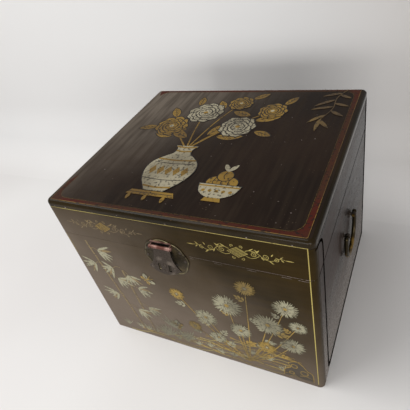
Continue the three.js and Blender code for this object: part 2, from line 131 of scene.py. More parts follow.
class Nodes:
    """Adds and joins the nodes of one material or shader group."""

    def __init__(self, tree: bpy.types.NodeTree) -> None:
        """Keeps the tree that the nodes go into."""
        self.tree = tree

    def fill(self, socket: Socket, value: object) -> None:
        """Fills an input.

        Args:
            socket: The input.
            value: A socket to join to it, a number, or a colour as seen on a screen.
        """
        if isinstance(value, Socket):
            self.tree.links.new(value, socket)
        else:
            socket.default_value = linear(value) if isinstance(value, tuple) else value

    def feed(self, node: bpy.types.Node, inputs: Inputs) -> None:
        """Fills several inputs of a node, each given by its name or place."""
        for name, value in inputs.items():
            self.fill(node.inputs[name], value)

    def make(self, kind: str, inputs: Inputs, output: int | str = 0, **settings: object) -> Socket:
        """Adds one node.

        Args:
            kind: Blender's name for the node type.
            inputs: What fills its inputs, by their names or places.
            output: The output that is wanted.
            **settings: Properties of the node.

        Returns:
            The wanted output.
        """
        node = self.tree.nodes.new(kind)
        for name, value in settings.items():
            setattr(node, name, value)
        self.feed(node, inputs)
        return node.outputs[output]

    def place(self) -> Socket:
        """Returns where a point lies, in the axes of its piece."""
        return self.make("ShaderNodeTexCoord", {}, "Object")

    def axes(self, vector: Socket) -> list[Socket]:
        """Splits a vector into its three numbers."""
        return list(self.make("ShaderNodeSeparateXYZ", {0: vector}).node.outputs)

    def math(self, operation: str, first: object, second: object = 0.0, third: object = 0.0) -> Socket:
        """Works out one sum on sockets or numbers, with Blender's name for the operation."""
        return self.make("ShaderNodeMath", {0: first, 1: second, 2: third}, operation=operation)

    def noise(self, vector: Socket, scale: float, detail: float) -> Socket:
        """Returns the value of a noise texture."""
        return self.make("ShaderNodeTexNoise", {"Vector": vector, "Scale": scale, "Detail": detail})

    def ramp(self, value: Socket, low: float, high: float) -> Socket:
        """Maps a value from low..high to 0..1 smoothly."""
        inputs = {"Value": value, "From Min": low, "From Max": high}
        return self.make("ShaderNodeMapRange", inputs, interpolation_type="SMOOTHSTEP")

    def mix(self, share: object, first: object, second: object) -> Socket:
        """Mixes two colours, where a share of 0 shows only the first."""
        return self.make("ShaderNodeMix", {0: share, 6: first, 7: second}, 2, data_type="RGBA")

    def bump(self, height: Socket, strength: float, distance: float) -> Socket:
        """Returns the normal of a surface that a height raises."""
        return self.make("ShaderNodeBump", {"Height": height, "Strength": strength, "Distance": distance})

    def group(self, tree: bpy.types.NodeTree, **values: float) -> bpy.types.bpy_prop_collection:
        """Adds a shader group.

        Args:
            tree: The group.
            **values: Its inputs, named with underscores for spaces.

        Returns:
            Its outputs.
        """
        node = self.make("ShaderNodeGroup", {}, node_tree=tree).node
        self.feed(node, {name.replace("_", " "): value for name, value in values.items()})
        return node.outputs


def new_group(
    name: str, inputs: dict[str, float], outputs: tuple[str, ...]
) -> tuple[Nodes, bpy.types.bpy_prop_collection, bpy.types.bpy_prop_collection]:
    """Starts a shader node group with number inputs and outputs.

    Args:
        name: The group's name.
        inputs: Each input's name and default value.
        outputs: The outputs' names.

    Returns:
        A helper that adds nodes to it, what comes in, and what is to go out.
    """
    tree = bpy.data.node_groups.new(name, "ShaderNodeTree")
    for label, default in inputs.items():
        socket = tree.interface.new_socket(label, in_out="INPUT", socket_type="NodeSocketFloat")
        socket.default_value = default
    for label in outputs:
        tree.interface.new_socket(label, in_out="OUTPUT", socket_type="NodeSocketFloat")
    return Nodes(tree), tree.nodes.new("NodeGroupInput").outputs, tree.nodes.new("NodeGroupOutput").inputs


def new_material(name: str) -> tuple[Material, Nodes, bpy.types.Node]:
    """Starts a material.

    Args:
        name: The material's name.

    Returns:
        The material, a helper that adds nodes to it, and its shader.
    """
    material = bpy.data.materials.new(name)
    material.use_nodes = True
    return material, Nodes(material.node_tree), material.node_tree.nodes["Principled BSDF"]


class SharedEffects:
    """The shader groups that several finishes use, each built once."""

    def __init__(self, half_width: float, half_depth: float, height: float) -> None:
        """Builds the groups.

        Args:
            half_width: Half of the chest's width, in metres.
            half_depth: Half of its depth.
            height: Its height.
        """
        self.half_width, self.half_depth, self.height = half_width, half_depth, height
        self.edge_wear = self.build_edge_wear()
        self.cloudiness = self.build_cloudiness()
        self.specks = self.build_specks()
        self.haze_and_reflection = self.build_haze_and_reflection()
        self.streaks = self.build_streaks()

    def build_edge_wear(self) -> bpy.types.NodeTree:
        """Builds wear that follows the chest's outer edges.

        Returns:
            A group with the inputs Reach and Patchiness and the output Mask.
        """
        nodes, given, result = new_group("edge_wear", {"Reach": 0.003, "Patchiness": 0.5}, ("Mask",))
        x, y, z = nodes.axes(nodes.place())
        side = nodes.math("SUBTRACT", self.half_width, nodes.math("ABSOLUTE", x))
        front = nodes.math("SUBTRACT", self.half_depth, nodes.math("ABSOLUTE", y))
        end = nodes.math("MINIMUM", nodes.math("SUBTRACT", self.height, z), z)
        total = nodes.math("ADD", nodes.math("ADD", side, front), end)
        most = nodes.math("MAXIMUM", nodes.math("MAXIMUM", side, front), end)
        least = nodes.math("MINIMUM", nodes.math("MINIMUM", side, front), end)
        to_edge = nodes.math("SUBTRACT", nodes.math("SUBTRACT", total, most), least)
        patches = nodes.ramp(nodes.noise(nodes.place(), 90.0, 6.0), 0.42, 0.72)
        kept = nodes.math("MULTIPLY", patches, given["Patchiness"])
        reach = nodes.math("MULTIPLY", given["Reach"], nodes.math("ADD", 0.25, kept))
        nearness = nodes.math("DIVIDE", nodes.math("SUBTRACT", reach, to_edge), given["Reach"])
        nodes.fill(result["Mask"], nodes.ramp(nearness, 0.0, 0.3))
        return nodes.tree

    def build_cloudiness(self) -> bpy.types.NodeTree:
        """Builds the slow and fine variation of an old lacquer film.

        Returns:
            A group with the input Scale and the outputs Slow and Fine.
        """
        nodes, given, result = new_group("cloudiness", {"Scale": 1.0}, ("Slow", "Fine"))
        inputs = {0: nodes.place(), "Scale": given["Scale"]}
        scaled = nodes.make("ShaderNodeVectorMath", inputs, operation="SCALE")
        nodes.fill(result["Slow"], nodes.noise(scaled, 9.0, 3.0))
        nodes.fill(result["Fine"], nodes.noise(scaled, 220.0, 8.0))
        return nodes.tree

    def build_specks(self) -> bpy.types.NodeTree:
        """Builds small scattered chips and dust.

        Returns:
            A group with the inputs Scale and Amount and the output Mask.
        """
        nodes, given, result = new_group("specks", {"Scale": 260.0, "Amount": 0.12}, ("Mask",))
        cells = {"Vector": nodes.place(), "Scale": given["Scale"]}
        distance = nodes.make("ShaderNodeTexVoronoi", cells, "Distance")
        clusters = nodes.ramp(nodes.noise(nodes.place(), 30.0, 2.0), 0.45, 0.75)
        limit = nodes.math("MULTIPLY", given["Amount"], clusters)
        nodes.fill(result["Mask"], nodes.math("LESS_THAN", distance, limit))
        return nodes.tree

    def build_haze_and_reflection(self) -> bpy.types.NodeTree:
        """Builds a pale film that grows towards one end of the chest; on the front and sides it paints
        reflection.

        Returns:
            A group with three slopes and an offset, and the output Mask.
        """
        nodes, given, result = new_group("haze_and_reflection", dict.fromkeys((*SLOPES, "Offset"), 0.0), ("Mask",))
        total = given["Offset"]
        for axis, slope in zip(nodes.axes(nodes.place()), SLOPES):
            total = nodes.math("MULTIPLY_ADD", axis, given[slope], total)
        uneven = nodes.math("MULTIPLY_ADD", nodes.noise(nodes.place(), 14.0, 6.0), 0.5, total)
        nodes.fill(result["Mask"], nodes.ramp(uneven, 0.15, 1.25))
        return nodes.tree

    def build_streaks(self) -> bpy.types.NodeTree:
        """Builds long uneven streaks, as a brush or a cloth leaves them.

        Returns:
            A group with a scale along each axis, and the output Mask.
        """
        nodes, given, result = new_group("streaks", dict.fromkeys(SCALES, 60.0), ("Mask",))
        scales = nodes.make("ShaderNodeCombineXYZ", {axis: given[label] for axis, label in enumerate(SCALES)})
        stretched = nodes.make("ShaderNodeVectorMath", {0: nodes.place(), 1: scales}, operation="MULTIPLY")
        nodes.fill(result["Mask"], nodes.ramp(nodes.noise(stretched, 1.0, 6.0), 0.38, 0.7))
        return nodes.tree


@dataclass(frozen=True)
class BloomAndReflection:
    """A pale colour over a lacquered surface that grows along its slopes; on the front and sides it is
    painted reflection of the pale floor.
    """

    colour: Screen = (89, 85, 75)
    slopes: Triple = (0.0, 0.0, 0.0)
    offset: float = -1.0


@dataclass(frozen=True)
class Lacquer:
    """A lacquered surface: its colours, gloss, wear, and a pale film that partly paints reflection."""

    name: str
    colour: Screen
    shade: Screen
    worn: Screen
    roughness: float
    specular: float = 0.4
    ior: float = 1.45
    wear_reach: float = 0.003
    specks: float = 0.12
    unevenness: float = 0.16
    worn_roughness: float = 0.6
    bump: float = 0.05
    bump_height: float = 0.4 * MM
    streak: float = 0.3
    streak_scale: Triple = (60.0, 8.0, 90.0)
    streak_colour: Screen = (39, 31, 25)
    streak_dulls: float = 0.25
    haze_and_reflection_break: float = 0.0
    # A pale film that grows along slopes; painted reflection on the front and sides.
    bloom: BloomAndReflection = BloomAndReflection()

    def build(self, effects: SharedEffects) -> Material:
        """Builds the material.

        Args:
            effects: The shared shader groups.

        Returns:
            The new material.
        """
        material, nodes, shader = new_material(self.name)
        clouds = nodes.group(effects.cloudiness)
        wear = nodes.group(effects.edge_wear, Reach=self.wear_reach)["Mask"]
        specks = nodes.group(effects.specks, Amount=self.specks)["Mask"]
        streaks = nodes.group(effects.streaks, **dict(zip(SCALES, self.streak_scale)))["Mask"]
        slopes = dict(zip(SLOPES, self.bloom.slopes))
        haze_and_reflection = nodes.group(effects.haze_and_reflection, Offset=self.bloom.offset, **slopes)["Mask"]
        body = nodes.mix(nodes.ramp(clouds["Slow"], 0.35, 0.65), self.shade, self.colour)
        body = nodes.mix(nodes.math("MULTIPLY", streaks, self.streak), body, self.streak_colour)
        unbroken = nodes.math("MULTIPLY_ADD", streaks, -self.haze_and_reflection_break, 1.0)
        # Lays the pale film over the body colour, thinned by the streaks; on the front and sides this paints
        # reflection.
        body = nodes.mix(nodes.math("MULTIPLY", haze_and_reflection, unbroken), body, self.bloom.colour)
        smoothest = self.roughness - self.unevenness / 2
        rough = nodes.math("MULTIPLY_ADD", clouds["Fine"], self.unevenness, smoothest)
        rough = nodes.math("MULTIPLY_ADD", streaks, self.streak * self.streak_dulls, rough)
        chipped = nodes.math("MULTIPLY", specks, self.worn_roughness)
        finish = {
            "Base Color": nodes.mix(nodes.math("MAXIMUM", wear, specks), body, self.worn),
            "Roughness": nodes.math("MAXIMUM", rough, chipped),
            "Specular IOR Level": self.specular,
            "IOR": self.ior,
            "Normal": nodes.bump(clouds["Fine"], self.bump, self.bump_height),
        }
        nodes.feed(shader, finish)
        return material


@dataclass(frozen=True)
class OldMetal:
    """A metal with a dark patina that is rubbed bright where hands reach."""

    name: str
    bright: Screen
    patina: Screen
    roughness: float
    rubbed: float
    unevenness: float = 0.25
    smoother: float = 0.12
    metallic: float = 0.85
    cloud_scale: float = 7.0
    bump: float = 0.25
    bump_height: float = 0.6 * MM

    def build(self, effects: SharedEffects) -> Material:
        """Builds the material.

        Args:
            effects: The shared shader groups.

        Returns:
            The new material.
        """
        material, nodes, shader = new_material(self.name)
        clouds = nodes.group(effects.cloudiness, Scale=self.cloud_scale)
        share = nodes.ramp(clouds["Slow"], 0.62 - self.rubbed * 0.3, 0.8 - self.rubbed * 0.2)
        smoothest = self.roughness - self.smoother
        finish = {
            "Base Color": nodes.mix(share, self.patina, self.bright),
            "Metallic": self.metallic,
            "Roughness": nodes.math("MULTIPLY_ADD", clouds["Fine"], self.unevenness, smoothest),
            "Normal": nodes.bump(clouds["Fine"], self.bump, self.bump_height),
        }
        nodes.feed(shader, finish)
        return material


@dataclass(frozen=True)
class Paint:
    """A painted colour, thin and rubbed through to the lacquer in places."""

    name: str
    colour: Screen
    faded: Screen
    ground: Screen
    rubbed: float
    metallic: float = 0.0
    roughness: float = 0.45
    specular: float = 0.3
    cloud_scale: float = 1.1
    bareness: float = 0.75

    def build(self, effects: SharedEffects) -> Material:
        """Builds the material.

        Args:
            effects: The shared shader groups.

        Returns:
            The new material.
        """
        material, nodes, shader = new_material(self.name)
        clouds = nodes.group(effects.cloudiness, Scale=self.cloud_scale)
        film = nodes.mix(nodes.ramp(clouds["Slow"], 0.38, 0.6), self.faded, self.colour)
        through = nodes.ramp(clouds["Fine"], 0.72 - self.rubbed * 0.4, 0.78 - self.rubbed * 0.3)
        finish = {
            "Base Color": nodes.mix(nodes.math("MULTIPLY", through, self.bareness), film, self.ground),
            "Roughness": self.roughness,
            "Specular IOR Level": self.specular,
            "Metallic": self.metallic,
        }
        nodes.feed(shader, finish)
        return material


FRONT_LACQUER = Lacquer(
    "front_lacquer",
    (40, 29, 7),
    (30, 22, 6),
    (70, 52, 32),
    roughness=0.36,
    specular=0.16,
    ior=1.22,
    streak=0.35,
    streak_scale=(7.0, 60.0, 130.0),
    streak_colour=(50, 39, 14),
    # Painted reflection of the pale floor: the front grows paler towards the left and the bottom.
    bloom=BloomAndReflection((98, 87, 76), (-2.0, 0.0, -3.1), 0.95),
)
TOP_LACQUER = Lacquer(
    "top_lacquer",
    (34, 22, 14),
    (26, 17, 11),
    (78, 66, 52),
    roughness=0.42,
    specular=0.12,
    specks=0.17,
    streak=0.4,
    streak_scale=(150.0, 11.0, 60.0),
    streak_colour=(48, 38, 28),
    haze_and_reflection_break=0.5,
    # The lid's pale film grows towards its left and back.
    bloom=BloomAndReflection((102, 92, 81), (-3.4, 2.3, 0.0), 0.02),
)
NOSE_LACQUER = Lacquer(
    "nose_lacquer",
    (38, 29, 11),
    (24, 19, 9),
    (62, 46, 28),
    roughness=0.14,
    specular=0.28,
    ior=1.27,
    specks=0.2,
    streak_scale=(20.0, 20.0, 90.0),
    streak_colour=(44, 34, 20),
)
SIDE_LACQUER = Lacquer(
    "side_lacquer",
    (26, 18, 14),
    (17, 13, 10),
    (40, 32, 26),
    roughness=0.26,
    specular=0.2,
    ior=1.22,
    wear_reach=0.002,
    streak=0.36,
    streak_scale=(40.0, 4.0, 34.0),
    streak_colour=(84, 68, 62),
    # Painted reflection of the pale floor: the sides grow paler towards the bottom and the front.
    bloom=BloomAndReflection((122, 114, 108), (0.0, -0.9, -5.0), 0.9),
)
INSIDE_LACQUER = Lacquer("inside_lacquer", (88, 34, 24), (70, 27, 20), (104, 66, 48), 0.6)
DARK_BRONZE = OldMetal("dark_bronze", (106, 96, 87), (64, 56, 49), 0.5, 0.3)
PLATE_BRONZE = OldMetal("plate_bronze", (82, 70, 46), (48, 40, 24), 0.5, 0.4)
RIM_BRONZE = OldMetal("rim_bronze", (138, 128, 98), (74, 66, 48), 0.46, 0.5)
# Near-black metal that paints the shadow in the hasp bracket's recess.
PAINTED_SHADOW_BRONZE = OldMetal("painted_shadow_bronze", (40, 28, 22), (16, 12, 10), 0.7, 0.2)
COPPER = OldMetal("worn_copper", (160, 126, 116), (92, 58, 50), 0.5, 0.6)
BRASS = OldMetal("old_brass", (140, 110, 52), (44, 36, 18), 0.36, 0.5)

FRONT_GROUND = (46, 38, 22)
TOP_GROUND = (26, 20, 17)
FRONT_INKS = {
    Ink.GOLD: Paint("front_gold", (162, 147, 80), (128, 113, 58), FRONT_GROUND, 0.25, 0.2, 0.4),
    Ink.OCHRE: Paint("front_ochre", (138, 112, 44), (100, 82, 36), FRONT_GROUND, 0.46),
    Ink.SILVER: Paint("front_silver", (135, 131, 107), (97, 93, 74), FRONT_GROUND, 0.5),
    Ink.DARK: Paint("front_dark", (56, 47, 35), (50, 42, 30), FRONT_GROUND, 0.0),
    # The pale of chips and specks, also used for the painted highlight along the seam.
    Ink.WORN: Paint("front_wear_and_highlight", (112, 100, 96), (78, 68, 60), FRONT_GROUND, 0.4),
    Ink.FADED: Paint("front_faded", (116, 98, 62), (92, 78, 56), FRONT_GROUND, 0.5),
    Ink.LINE: Paint("front_line_black", (11, 9, 7), (20, 16, 13), FRONT_GROUND, 0.16, specular=0.0),
}
TOP_INKS = {
    Ink.GOLD: Paint("top_gold", (128, 100, 44), (92, 68, 32), TOP_GROUND, 0.5, 0.1),
    Ink.OCHRE: Paint("top_ochre", (136, 106, 38), (98, 74, 28), TOP_GROUND, 0.42),
    Ink.SILVER: Paint("top_silver", (158, 150, 126), (118, 110, 90), TOP_GROUND, 0.48),
    Ink.DARK: Paint("top_dark", (22, 16, 14), (26, 20, 17), TOP_GROUND, 0.0),
    Ink.RED: Paint("top_red", (68, 20, 9), (60, 34, 20), TOP_GROUND, 0.46, 0.0, 0.55, 0.15),
    Ink.FADED: Paint("top_faded", (112, 90, 44), (78, 60, 34), TOP_GROUND, 0.5),
}


def to_object(name: str, mesh: Mesh) -> Object:
    """Puts a finished mesh into the scene.

    Args:
        name: The piece's name.
        mesh: The mesh, in metres.

    Returns:
        The new object.
    """
    data = bpy.data.meshes.new(name)
    mesh.to_mesh(data)
    mesh.free()
    piece = bpy.data.objects.new(name, data)
    bpy.context.scene.collection.objects.link(piece)
    return piece


def dress(piece: Object, *materials: Material) -> None:
    """Gives a piece its materials in place of any it had, and keeps which face has which.

    Args:
        piece: The piece.
        *materials: Its materials, in the order of its faces' numbers.
    """
    held = piece.data.materials
    for place, material in enumerate(materials):
        if place < len(held):
            held[place] = material
        else:
            held.append(material)


def stand_in(node: str, mesh: Mesh, body: str, slot: str, *materials: Material) -> Object:
    """Puts a finished mesh in the place of one of the frame's nodes.

    Args:
        node: The node's name.
        mesh: The mesh, in metres.
        body: The body that it rides on.
        slot: The record's material slot; not used.
        *materials: Its materials.

    Returns:
        The new object.
    """
    piece = to_object(f"{node}_finished", mesh)
    dress(piece, *materials)
    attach(piece, body)
    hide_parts(node)
    log.info("finished %s", node)
    return piece


@dataclass(frozen=True)
class Outside:
    """The chest's outer surface, which paint lies on, in millimetres."""

    half_width: float
    half_depth: float
    height: float
    corner: float = 8.0
    nose: float = 6.0

    def inset(self, x: float, y: float) -> float:
        """Measures how far a point lies inside the chest's outline as seen from above.

        Args:
            x: Its place across the chest.
            y: Its place from front to back.

        Returns:
            The distance, negative for a point outside.
        """
        past_x = abs(x) - (self.half_width - self.corner)
        past_y = abs(y) - (self.half_depth - self.corner)
        outside = math.hypot(max(past_x, 0.0), max(past_y, 0.0)) + min(max(past_x, past_y), 0.0)
        return self.corner - outside

    def fall(self, along: float, half: float) -> float:
        """Returns how far the rounded upright edge falls back at a place along a face."""
        past = min(max(0.0, abs(along) - (half - self.corner)), self.corner)
        return self.corner - math.sqrt(self.corner**2 - past**2)

    def place(self, face: Face, u: float, v: float, lift: float) -> Vector:
        """Puts a drawn point on a face.

        Args:
            face: The face that is drawn on.
            u: The first coordinate on it.
            v: The second coordinate on it.
            lift: How far the point stands off the surface.

        Returns:
            The point in metres.
        """
        if face is Face.TOP:
            short = min(max(0.0, 1 - self.inset(u, v) / self.nose), 1.0)
            drop = self.nose * (1 - math.sqrt(1 - short**2))
            return Vector((u, v, self.height - drop + lift)) * MM
        if face is Face.FRONT:
            return Vector((u, self.fall(u, self.half_width) - self.half_depth - lift, v)) * MM
        sign = 1 if face is Face.RIGHT else -1
        return Vector((sign * (self.half_width - self.fall(u, self.half_depth) + lift), u, v)) * MM


def towards(root: Point, turn: float, reach: float) -> Point:
    """Returns the point at a distance from another, with its direction in degrees."""
    angle = math.radians(turn)
    return (root[0] + reach * math.cos(angle), root[1] + reach * math.sin(angle))


def between(start: Point, end: Point, share: float) -> Point:
    """Returns the point at a share of the way between two others."""
    return (start[0] + (end[0] - start[0]) * share, start[1] + (end[1] - start[1]) * share)


def smooth_line(points: list[Point], steps: int = 6) -> list[Point]:
    """Runs a smooth curve through points.

    Args:
        points: The points that it passes.
        steps: How many parts each stretch gets.

    Returns:
        The points of the curve.
    """
    ends = [points[0], *points, points[-1]]
    line = []
    for place in range(len(points) - 1):
        for step in range(steps):
            t = step / steps
            point = []
            for a, b, c, d in zip(*ends[place : place + 4]):
                rest = (2 * a - 5 * b + 4 * c - d) * t**2 + (3 * b - a - 3 * c + d) * t**3
                point.append(0.5 * (2 * b + (c - a) * t + rest))
            line.append((point[0], point[1]))
    return [*line, points[-1]]


def spiral(middle: Point, radius: float, start: float, turns: float, left: float = 0.2) -> list[Point]:
    """Winds a line inwards round a point.

    Args:
        middle: The point.
        radius: The outer radius.
        start: The starting angle in degrees.
        turns: How many turns it makes, negative for clockwise.
        left: The share of the radius that is left at the inner end.

    Returns:
        The points of the line.
    """
    count = max(8, int(abs(turns) * 14))
    line = []
    for step in range(count + 1):
        share = step / count
        reach = radius * (1 - (1 - left) * share)
        line.append(towards(middle, start + 360 * turns * share, reach))
    return line


def rounded_outline(half_u: float, half_v: float, radius: float, steps: int = 8) -> list[Point]:
    """Draws a rectangle with rounded corners about the origin.

    Args:
        half_u: Half of its width.
        half_v: Half of its height.
        radius: The radius of its corners.
        steps: How many parts each corner gets.

    Returns:
        Its points, from the left end of the lower left corner.
    """
    line = []
    for sign_u, sign_v, start in ((-1, -1, 180), (1, -1, 270), (1, 1, 0), (-1, 1, 90)):
        middle = (sign_u * (half_u - radius), sign_v * (half_v - radius))
        line += [towards(middle, start + 90 * step / steps, radius) for step in range(steps + 1)]
    return line


@dataclass
class Pen:
    """Draws thin films of paint on one face of the chest.

    The lift is how far the last film stands off the surface, in millimetres. The scale and the shift enlarge
    and move the whole drawing.
    """

    outside: Outside
    face: Face
    lift: float = 0.12
    scale: float = 1.0
    shift: Point = (0.0, 0.0)
    inks: list[Ink] = field(default_factory=list)
    mesh: Mesh = field(default_factory=bmesh.new)

    def film(self, ink: Ink, corners: list[Point]) -> None:
        """Adds one flat patch at the present height.

        Args:
            ink: The colour.
            corners: Its corners in order.
        """
        patch = []
        for u, v in corners:
            at_u, at_v = self.shift[0] + self.scale * u, self.shift[1] + self.scale * v
            patch.append(self.mesh.verts.new(self.outside.place(self.face, at_u, at_v, self.lift)))
        added = self.mesh.faces.new(patch)
        if ink not in self.inks:
            self.inks.append(ink)
        added.material_index = self.inks.index(ink)
        added.normal_update()
        if added.normal.dot(Vector(self.face.value)) < 0:
            added.normal_flip()

    def fill(self, ink: Ink, corners: list[Point]) -> None:
        """Fills an outline, just above all that was drawn before."""
        self.lift += FILM_STEP
        self.film(ink, corners)

    def stroke(self, ink: Ink, line: list[Point], width: float, end: float | None = None) -> None:
        """Draws a brush stroke.

        Args:
            ink: The colour.
            line: The points that it follows.
            width: Its width at the start.
            end: Its width at the end, or None for the same.
        """
        self.lift += FILM_STEP
        growth = 0.0 if end is None else end - width
        last = len(line) - 1
        edges = []
        for place, (u, v) in enumerate(line):
            before, after = line[max(place - 1, 0)], line[min(place + 1, last)]
            run_u, run_v = after[0] - before[0], after[1] - before[1]
            half = (width + growth * place / last) / 2 / (math.hypot(run_u, run_v) or 1.0)
            edges.append(((u - run_v * half, v + run_u * half), (u + run_v * half, v - run_u * half)))
        for (left, right), (next_left, next_right) in zip(edges, edges[1:]):
            self.film(ink, [left, right, next_right, next_left])

    def blade(
        self,
        ink: Ink,
        root: Point,
        turn: float,
        length: float,
        width: float,
        full: float = 1.0,
        bend: float = 0.0,
    ) -> None:
        """Fills a petal or leaf.

        Args:
            ink: The colour.
            root: Where it grows from.
            turn: Its direction in degrees.
            length: Its length.
            width: Its greatest width.
            full: Above 1 the widest part lies nearer the tip.
            bend: How far the tip swings to the left, as a share of the length.
        """
        left, right = [], []
        for step in range(9):
            share = step / 8
            half = width / 2 * math.sin(math.pi * min(1.0, share**full)) ** 0.8
            middle = towards(towards(root, turn, length * share), turn + 90, length * bend * share**2)
            left.append(towards(middle, turn + 90, half))
            right.append(towards(middle, turn - 90, half))
        self.fill(ink, left + right[-2:0:-1])

    def disc(self, ink: Ink, middle: Point, radius: float, sides: int = 14) -> None:
        """Fills a round spot."""
        self.fill(ink, [towards(middle, 360 * side / sides, radius) for side in range(sides)])

    def finish(self, name: str, body: str, finishes: dict[Ink, Material]) -> None:
        """Ends the drawing and hangs it on a body.

        Args:
            name: The piece's name.
            body: The body that it rides on.
            finishes: The material of each ink.
        """
        piece = to_object(name, self.mesh)
        dress(piece, *(finishes[ink] for ink in self.inks))
        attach(piece, body)
        log.info("painted %s", name)


@dataclass
class Surroundings:
    """The camera, the pale floor and the lights."""

    camera_place: Vector = field(default_factory=lambda: Vector((0.27211, -0.45396, 0.60638)))
    camera_ahead: Vector = field(default_factory=lambda: Vector((-0.44854, 0.64623, -0.61741)))
    camera_up: Vector = field(default_factory=lambda: Vector((-0.11844, 0.64173, 0.75773)))
    view_angle: float = math.radians(53.107)
    floor_half: float = 12.0
    sweep_start: float = 0.2
    sweep_radius: float = 0.16
    sweep_steps: int = 12
    room_light: float = 0.4
    room_seen: float = 0.65

    def place_camera(self) -> None:
        """Puts the camera where the photograph was taken."""
        data = bpy.data.cameras.new("camera")
        data.sensor_fit = "AUTO"
        data.lens_unit = "FOV"
        data.angle = self.view_angle
        camera = bpy.data.objects.new("camera", data)
        ahead = self.camera_ahead.normalized()
        right = ahead.cross(self.camera_up).normalized()
        rotation = Matrix((right, right.cross(ahead), -ahead)).transposed()
        camera.matrix_world = Matrix.Translation(self.camera_place) @ rotation.to_4x4()
        bpy.context.scene.collection.objects.link(camera)
        bpy.context.scene.camera = camera

    def lay_floor(self) -> None:
        """Lays a plain pale floor, and a sweep of the same paper that rises behind the chest and is painted
        darker with height and towards the right, as shade.
        """
        self.lay_sheet("floor", [(-self.floor_half, 0.0), (self.floor_half, 0.0)], False)
        centre = (self.sweep_start, self.sweep_radius)
        turns = [90 * step / self.sweep_steps - 90 for step in range(self.sweep_steps + 1)]
        profile = [towards(centre, turn, self.sweep_radius) for turn in turns]
        self.lay_sheet("sweep", [*profile, (self.sweep_start + self.sweep_radius, self.floor_half / 3)], True)

    def lay_sheet(self, name: str, profile: list[Point], seen_from_front: bool) -> None:
        """Lays one pale sheet.

        Args:
            name: The sheet's name.
            profile: Its points in y and z.
            seen_from_front: Whether it shows only to a camera in front of it, and so never hides the chest.
        """
        mesh = bmesh.new()
        rows = [[mesh.verts.new((x, y, z)) for x in (-self.floor_half, self.floor_half)] for y, z in profile]
        for near, far in zip(rows, rows[1:]):
            mesh.faces.new((near[0], near[1], far[1], far[0])).smooth = True
        sheet = to_object(name, mesh)
        material, nodes, shader = new_material(f"pale_{name}")
        x, _, z = nodes.axes(nodes.place())
        tone = nodes.ramp(nodes.noise(nodes.place(), 1.6, 2.0), 0.3, 0.7)
        paper = nodes.mix(tone, (221, 218, 216), (229, 227, 225))
        # Painted shade: the sweep's paper darkens as it rises and towards the right, away from the left lamp.
        raised = nodes.math("SQRT", nodes.math("DIVIDE", z, self.sweep_radius * 0.37))
        wall = nodes.mix(nodes.ramp(x, -0.1, 0.5), (203, 202, 201), (160, 155, 151))
        colour = nodes.mix(raised, paper, wall)
        nodes.feed(shader, {"Base Color": colour, "Roughness": 0.8, "Specular IOR Level": 0.2})
        if seen_from_front:
            behind = nodes.make("ShaderNodeNewGeometry", {}, "Backfacing")
            looking = nodes.make("ShaderNodeLightPath", {}, "Is Camera Ray")
            shown = nodes.math("MULTIPLY", nodes.math("SUBTRACT", 1.0, behind), looking)
            clear = nodes.make("ShaderNodeBsdfTransparent", {})
            blend = nodes.make("ShaderNodeMixShader", {0: shown, 1: clear, 2: shader.outputs[0]})
            nodes.feed(material.node_tree.nodes["Material Output"], {0: blend})
        dress(sheet, material)

    def light(self) -> None:
        """Lights the chest softly from the front and the left, and evenly all round."""
        scene = bpy.context.scene
        scene.view_settings.view_transform = "Standard"
        world = bpy.data.worlds.new("room")
        world.use_nodes = True
        nodes = Nodes(world.node_tree)
        seen = nodes.make("ShaderNodeLightPath", {}, "Is Camera Ray")
        strength = nodes.math("MULTIPLY_ADD", seen, self.room_seen - self.room_light, self.room_light)
        background = world.node_tree.nodes["Background"]
        background.inputs["Color"].default_value = (1.0, 0.99, 0.98, 1.0)
        nodes.feed(background, {"Strength": strength})
        scene.world = world
        self.lamp("front_window", Vector((0.65, -2.2, 0.5)), (2.7, 0.7), 43.0)
        self.lamp("ceiling", Vector((-0.85, -0.55, 1.9)), (1.4, 1.4), 28.5)

    def lamp(self, name: str, place: Vector, size: Point, power: float) -> None:
        """Adds one soft rectangular lamp that faces the chest.

        Args:
            name: The lamp's name.
            place: Where it hangs.
            size: Its width and height, in metres.
            power: Its power in watts.
        """
        data = bpy.data.lights.new(name, "AREA")
        data.shape = "RECTANGLE"
        data.size, data.size_y = size
        data.energy = power
        lamp = bpy.data.objects.new(name, data)
        lamp.location = place
        lamp.rotation_euler = (Vector((0, 0, 0.15)) - place).to_track_quat("-Z", "Y").to_euler()
        bpy.context.scene.collection.objects.link(lamp)


